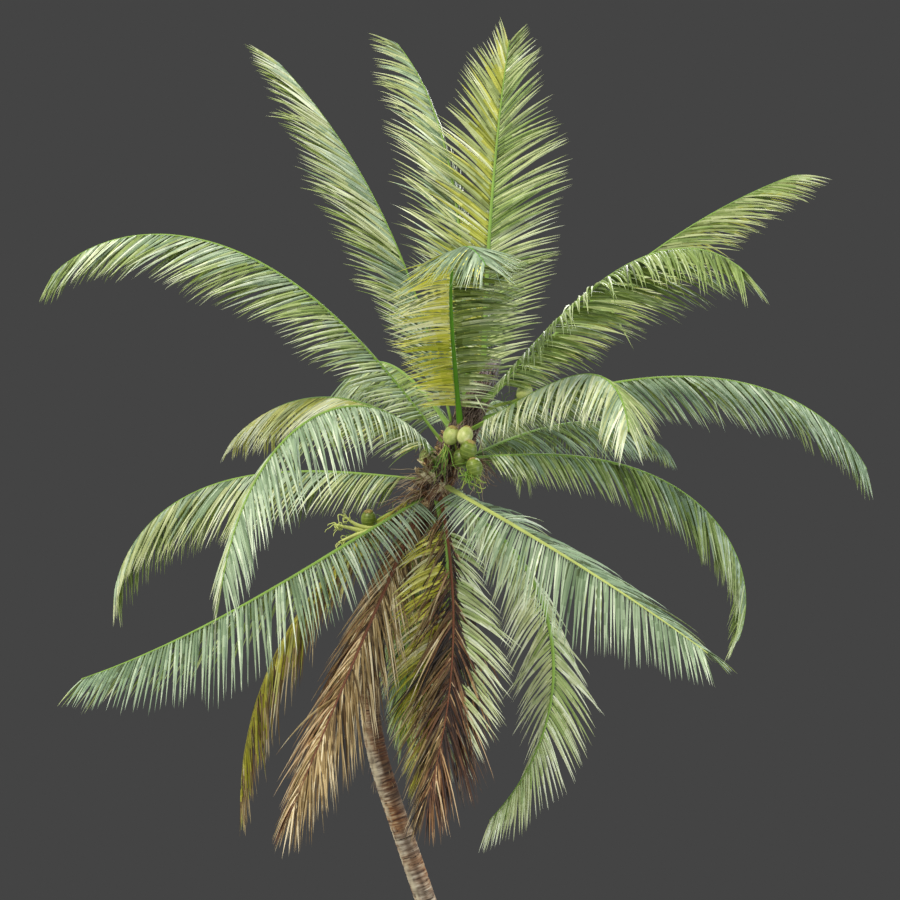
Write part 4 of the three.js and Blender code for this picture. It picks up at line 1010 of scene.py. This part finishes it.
def nut_mesh(centre, tilt, turned, grown):
    """A husk: half-width sin(a) ^ 0.8 over height -cos(a), with three faint sides by
    1 + 0.03 cos(3 b), tilted about its own middle. At its upper end sits the cap, a short ring
    of scales that stand out by turns, as 1 + 0.14 cos(6 b)."""
    a = math.pi * (np.arange(NUT_RINGS) + 0.35) / (NUT_RINGS - 0.3)
    b = 2 * math.pi * np.arange(NUT_SIDES) / NUT_SIDES

    def skin(reach, rise):
        """Rings round the upright line: reach out from it, and rise up it."""
        height = rise[:, None] * np.ones_like(b)[None, :]
        return np.stack([reach * np.cos(b), reach * np.sin(b), height], -1).reshape(-1, 3)

    sided = (1 + 0.03 * np.cos(3 * b + turned))[None, :]
    husk = skin(NUT_RADIUS * grown * np.sin(a)[:, None] ** 0.8 * sided, -np.cos(a) * NUT_LENGTH / 2)
    cap = skin(CAP_REACH[:, None] * (1 + 0.14 * np.cos(6 * b))[None, :], CAP_RISE)
    (sin_x, sin_y), (cos_x, cos_y) = np.sin(tilt), np.cos(tilt)
    lean_x = np.array([[1, 0, 0], [0, cos_x, -sin_x], [0, sin_x, cos_x]])
    lean_y = np.array([[cos_y, 0, sin_y], [0, 1, 0], [-sin_y, 0, cos_y]])
    turn_over = (lean_x @ lean_y).T
    return husk @ turn_over + np.array(centre), cap @ turn_over + np.array(centre)


def bent(t, start, over, end):
    """A bend at places t: (1 - t) ^ 2 start + 2 t (1 - t) over + t ^ 2 end."""
    return (1 - t) ** 2 * start + 2 * t * (1 - t) * over + t ** 2 * end


TWIG_PLACES = 16


def curly_twigs(roots, ways, lengths, curls, draw, radius):
    """Thin twigs: each starts along its way and turns as it goes, by curl k ^ 1.6 about a side way
    of its own, with a small waver, and sinks by 0.5 k. Gives paths (count, places, 3) and radii."""
    count = len(roots)
    k = np.linspace(0, 1, TWIG_PLACES)[None, :]
    ways = unit(ways)
    side = unit(np.cross(ways, draw.normal(0, 1, (count, 3))))
    turned = curls[:, None] * k ** 1.6 + 0.4 * np.sin(10 * k + draw.uniform(0, 6, count)[:, None])
    heading = np.cos(turned)[..., None] * ways[:, None, :] + np.sin(turned)[..., None] * side[:, None, :]
    heading = unit(heading - 0.5 * k[..., None] * UPRIGHT)
    steps = heading * (lengths / (TWIG_PLACES - 1))[:, None, None]
    paths = roots[:, None, :] + np.concatenate([np.zeros((count, 1, 3)), np.cumsum(steps[:, 1:], 1)], 1)
    return paths, radius * draw.uniform(0.7, 1.2, count)[:, None] * (1 - 0.6 * k)


draw = np.random.default_rng(13)
for name, bunch in BUNCHES.items():
    t = np.linspace(0, 1, 24)[:, None]
    run = bent(t, seat_point(bunch["seat"]), np.array(bunch["bend"]), np.array(bunch["end"]))
    run = run + 0.012 * np.sin(9 * t + np.array([0, 2, 4]))
    stalks = [(*tubes(run[None], np.interp(t[:, 0], [0, 0.5, 1], BUNCH_RADII)[None], 10), 0)]
    husks, rises = [], []
    for nut, tone in zip(bunch["nuts"], HUSK_TONES[name]):
        tilt = draw.uniform(-0.35, 0.35, 2)
        husk_points, cap_points = nut_mesh(nut, tilt, draw.uniform(0, 6), draw.uniform(0.96, 1.04))
        husks.append((husk_points, closed_rings(NUT_RINGS, NUT_SIDES), tone))
        husks.append((cap_points, closed_rings(len(CAP_REACH), NUT_SIDES), len(husk_finishes)))
        rises += [np.repeat(np.linspace(0, 1, NUT_RINGS), NUT_SIDES), np.zeros(len(cap_points))]
        nearest = run[np.argmin(np.linalg.norm(run - np.array(nut), axis=1))]
        top = np.array(nut) + NUT_LENGTH * 0.45 * UPRIGHT
        foot = bent(np.linspace(0, 1, 8)[:, None], nearest, top + 0.05 * UPRIGHT, top)
        stalks.append((*tubes(foot[None], np.full((1, 8), NUT_STALK_RADIUS), 8), 0))

    # The side twigs leave the outer half of the stalk all round and curl as they go.
    count = 34 if name == "front" else 26
    at = draw.uniform(0.35, 1.0, count)
    roots = np.stack([np.interp(at, t[:, 0], run[:, axis]) for axis in range(3)], -1)
    onward = unit(np.stack([np.interp(at, t[1:, 0], np.diff(run[:, axis])) for axis in range(3)], -1))
    ways = onward + draw.normal(0, 0.75, (count, 3))
    lengths, curls = draw.uniform(0.14, 0.36, count), draw.normal(0, 2.4, count)
    twigs = curly_twigs(roots, ways, lengths, curls, draw, SIDE_TWIG_RADIUS)
    stalks.append((*tubes(*twigs, 6), 1))
    nut_points, nut_faces, nut_tones = joined(husks)
    nut_piece = lay_mesh(f"coconuts_{name}", nut_points, nut_faces, [*husk_finishes, cap_finish],
                         dealt=nut_tones, marks={"rise": np.concatenate(rises)})
    stalk_points, stalk_faces, stalk_tones = joined(stalks)
    stalk_piece = lay_mesh(f"coconut_stalk_{name}", stalk_points, stalk_faces,
                           [stalk_finish, twig_finishes[0]], dealt=stalk_tones)
    for piece in (nut_piece, stalk_piece):
        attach(piece, "root")
    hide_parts(f"coconut_bunch_{name}")

# Spent flower clusters. Their side twigs, green while fresh and straw or brown once dry, hang from
# the heart in sprays between the stalks. Each spray: its root, its way, how wide it fans, how many
# twigs, their length and curl, and whether it is dry.
SPRAYS = [
    ((-0.76, -0.30, 9.10), (-0.10, -0.35, -1.0), 0.26, 16, 0.5, 1.6, False),
    ((-0.44, -0.45, 8.76), (0.12, -0.25, -0.6), 0.75, 26, 0.42, 5.2, False),
    ((-0.85, -0.30, 8.62), (-0.85, -0.30, -0.9), 0.12, 12, 0.36, 0.2, True),
    ((-0.85, -0.30, 8.62), (0.60, -0.30, -0.9), 0.12, 10, 0.26, 0.2, True),
    ((-0.98, -0.20, 8.72), (-1.0, -0.15, -0.25), 0.28, 34, 0.55, 0.5, True),
    ((-1.08, -0.12, 8.50), (-1.0, -0.15, -0.45), 0.30, 30, 0.60, 0.6, True),
    ((-0.92, -0.20, 9.05), (-0.9, -0.45, -0.6), 0.35, 16, 0.34, 0.8, True),
    ((-0.35, 0.20, 8.95), (0.9, 0.4, -0.6), 0.40, 24, 0.45, 0.8, True),
    ((-0.80, 0.28, 8.80), (-0.4, 0.9, -0.5), 0.40, 24, 0.45, 0.8, True),
    ((-0.35, -0.10, 8.80), (0.35, -0.15, -1.0), 0.25, 14, 0.40, 1.0, True),
]
FRESH_RADIUS, DRY_RADIUS = 0.0095, 0.005
sprays = []
for root, way, fan, count, length, curl, dry in SPRAYS:
    roots = np.array(root) + draw.normal(0, 0.025, (count, 3))
    ways = unit(np.array(way)) + draw.normal(0, fan, (count, 3))
    lengths, curls = length * draw.uniform(0.6, 1.1, count), draw.normal(0, curl, count)
    radius = DRY_RADIUS if dry else FRESH_RADIUS
    points, faces = tubes(*curly_twigs(roots, ways, lengths, curls, draw, radius), 5)
    tones = draw.choice(2, count, p=[0.6, 0.4]) + (2 if dry else 0)
    sprays.append((points, faces, dealt_tubes(tones, TWIG_PLACES, 5)))
spray_points, spray_faces, spray_tones = joined(sprays)
flowers = lay_mesh("flower_twigs", spray_points, spray_faces, twig_finishes, dealt=spray_tones)
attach(flowers, "root")

# The bunch on the left has lost all its nuts but one, and its thick pale side branches stand bare.
# Each is a bend from its first place over its second to its third, and ends in curling twigs.
BARE_BRANCHES = [
    ((-1.72, 0.02, 8.02), (-1.94, -0.02, 8.00), (-2.11, -0.04, 8.17)),
    ((-1.86, 0.00, 7.97), (-2.05, -0.03, 8.02), (-2.23, -0.06, 8.06)),
    ((-1.80, 0.00, 7.98), (-2.02, -0.04, 7.92), (-2.20, -0.05, 7.82)),
]
TWIGS_A_BRANCH = 9
BRANCH_RADIUS, BRANCH_THINNING, BRANCH_TWIG_RADIUS = 0.036, 0.020, 0.011
k = np.linspace(0, 1, 14)[:, None]
branches = []
for first_place, second, third in np.array(BARE_BRANCHES):
    run = bent(k, first_place, second, third)
    branches.append((*tubes(run[None], (BRANCH_RADIUS - BRANCH_THINNING * k[:, 0])[None], 10), 0))
    roots = run[draw.integers(8, 14, TWIGS_A_BRANCH)]
    ways = unit(third - second) + draw.normal(0, 0.6, (TWIGS_A_BRANCH, 3))
    lengths, curls = draw.uniform(0.14, 0.30, TWIGS_A_BRANCH), draw.normal(0, 4.0, TWIGS_A_BRANCH)
    twigs = curly_twigs(roots, ways, lengths, curls, draw, BRANCH_TWIG_RADIUS)
    branches.append((*tubes(*twigs, 6), 0))
branch_points, branch_faces, _ = joined(branches)
bare = lay_mesh("bare_flower_branches", branch_points, branch_faces,
                [leaf_finish("pale_flower_stalk", "#BFC874", 0.5)])
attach(bare, "root")


# ---------------------------------------------------------------- floor, light and camera
# A plain pale floor that the palm stands on, a broad soft key light from the upper left, a fill
# from the right, and an even sky.

FLOOR_HALF = 12.0
floor_points = np.array([[x, y, 0] for x, y in ((-1, -1), (1, -1), (1, 1), (-1, 1))]) * FLOOR_HALF
pale = close_finish(new_finish("pale_floor"), {"Base Color": linear("#C9C6C0"), "Roughness": 0.9})
floor = lay_mesh("floor", floor_points, [np.array([[0, 1, 2, 3]])], [pale])

# The sky is brightest overhead and dim below, and behind the palm the camera sees a plain dark grey.
world = bpy.data.worlds.new("studio")
bpy.context.scene.world = world
world.use_nodes = True
world.node_tree.nodes.clear()
look_way = add_node(world, "TexCoord")
look_height = add_node(world, "SeparateXYZ", Vector=look_way.outputs["Generated"])
sky_place = add_node(world, "MapRange", {"From Min": -1.0, "From Max": 1.0},
                     Value=look_height.outputs["Z"])
sky_colour = add_node(world, "ValToRGB", {"steps": [
    (0.0, "#625D4A"), (0.46, "#8E9494"), (0.60, "#C6CED2"), (1.0, "#F4F8FC")]}, Fac=sky_place)
sky = add_node(world, "Background", Color=sky_colour)
backdrop = add_node(world, "Background", {"Color": linear("#444444")})
seen = add_node(world, "LightPath")
either = add_node(world, "MixShader", Fac=seen.outputs["Is Camera Ray"], first=sky, second=backdrop)
add_node(world, "OutputWorld", Surface=either)
bpy.context.scene.view_settings.view_transform = "Standard"


def soft_light(name, place, target, size, power, colour):
    """A square lamp of this size at a place, turned so that its -Z looks at the target."""
    lamp = bpy.data.lights.new(name, "AREA")
    lamp.size = size
    lamp.energy = power
    lamp.color = linear(colour)[:3]
    light = bpy.data.objects.new(name, lamp)
    light.location = place
    way = np.array(target) - np.array(place)
    light.rotation_euler = (
        math.atan2(math.hypot(way[0], way[1]), -way[2]), 0, math.atan2(way[1], way[0]) - math.pi / 2)
    bpy.context.scene.collection.objects.link(light)


soft_light("key", (-16, -17, 27), (-0.7, 0, 9), 4, 6900, "#FFF7E6")
soft_light("fill", (20, -14, 7), (-0.7, 0, 8.5), 10, 2400, "#F2F5FF")
soft_light("rim", (6, 20, 22), (-0.7, 0, 9.5), 8, 2000, "#FFFDF6")

camera_data = bpy.data.cameras.new("camera")
camera_data.lens = 77
camera_data.sensor_width = 36
camera_data.clip_end = 200
camera = bpy.data.objects.new("camera", camera_data)
camera.location = (-0.702, -26, 9.07)
camera.rotation_euler = (math.pi / 2, 0, 0)
bpy.context.scene.collection.objects.link(camera)
bpy.context.scene.camera = camera
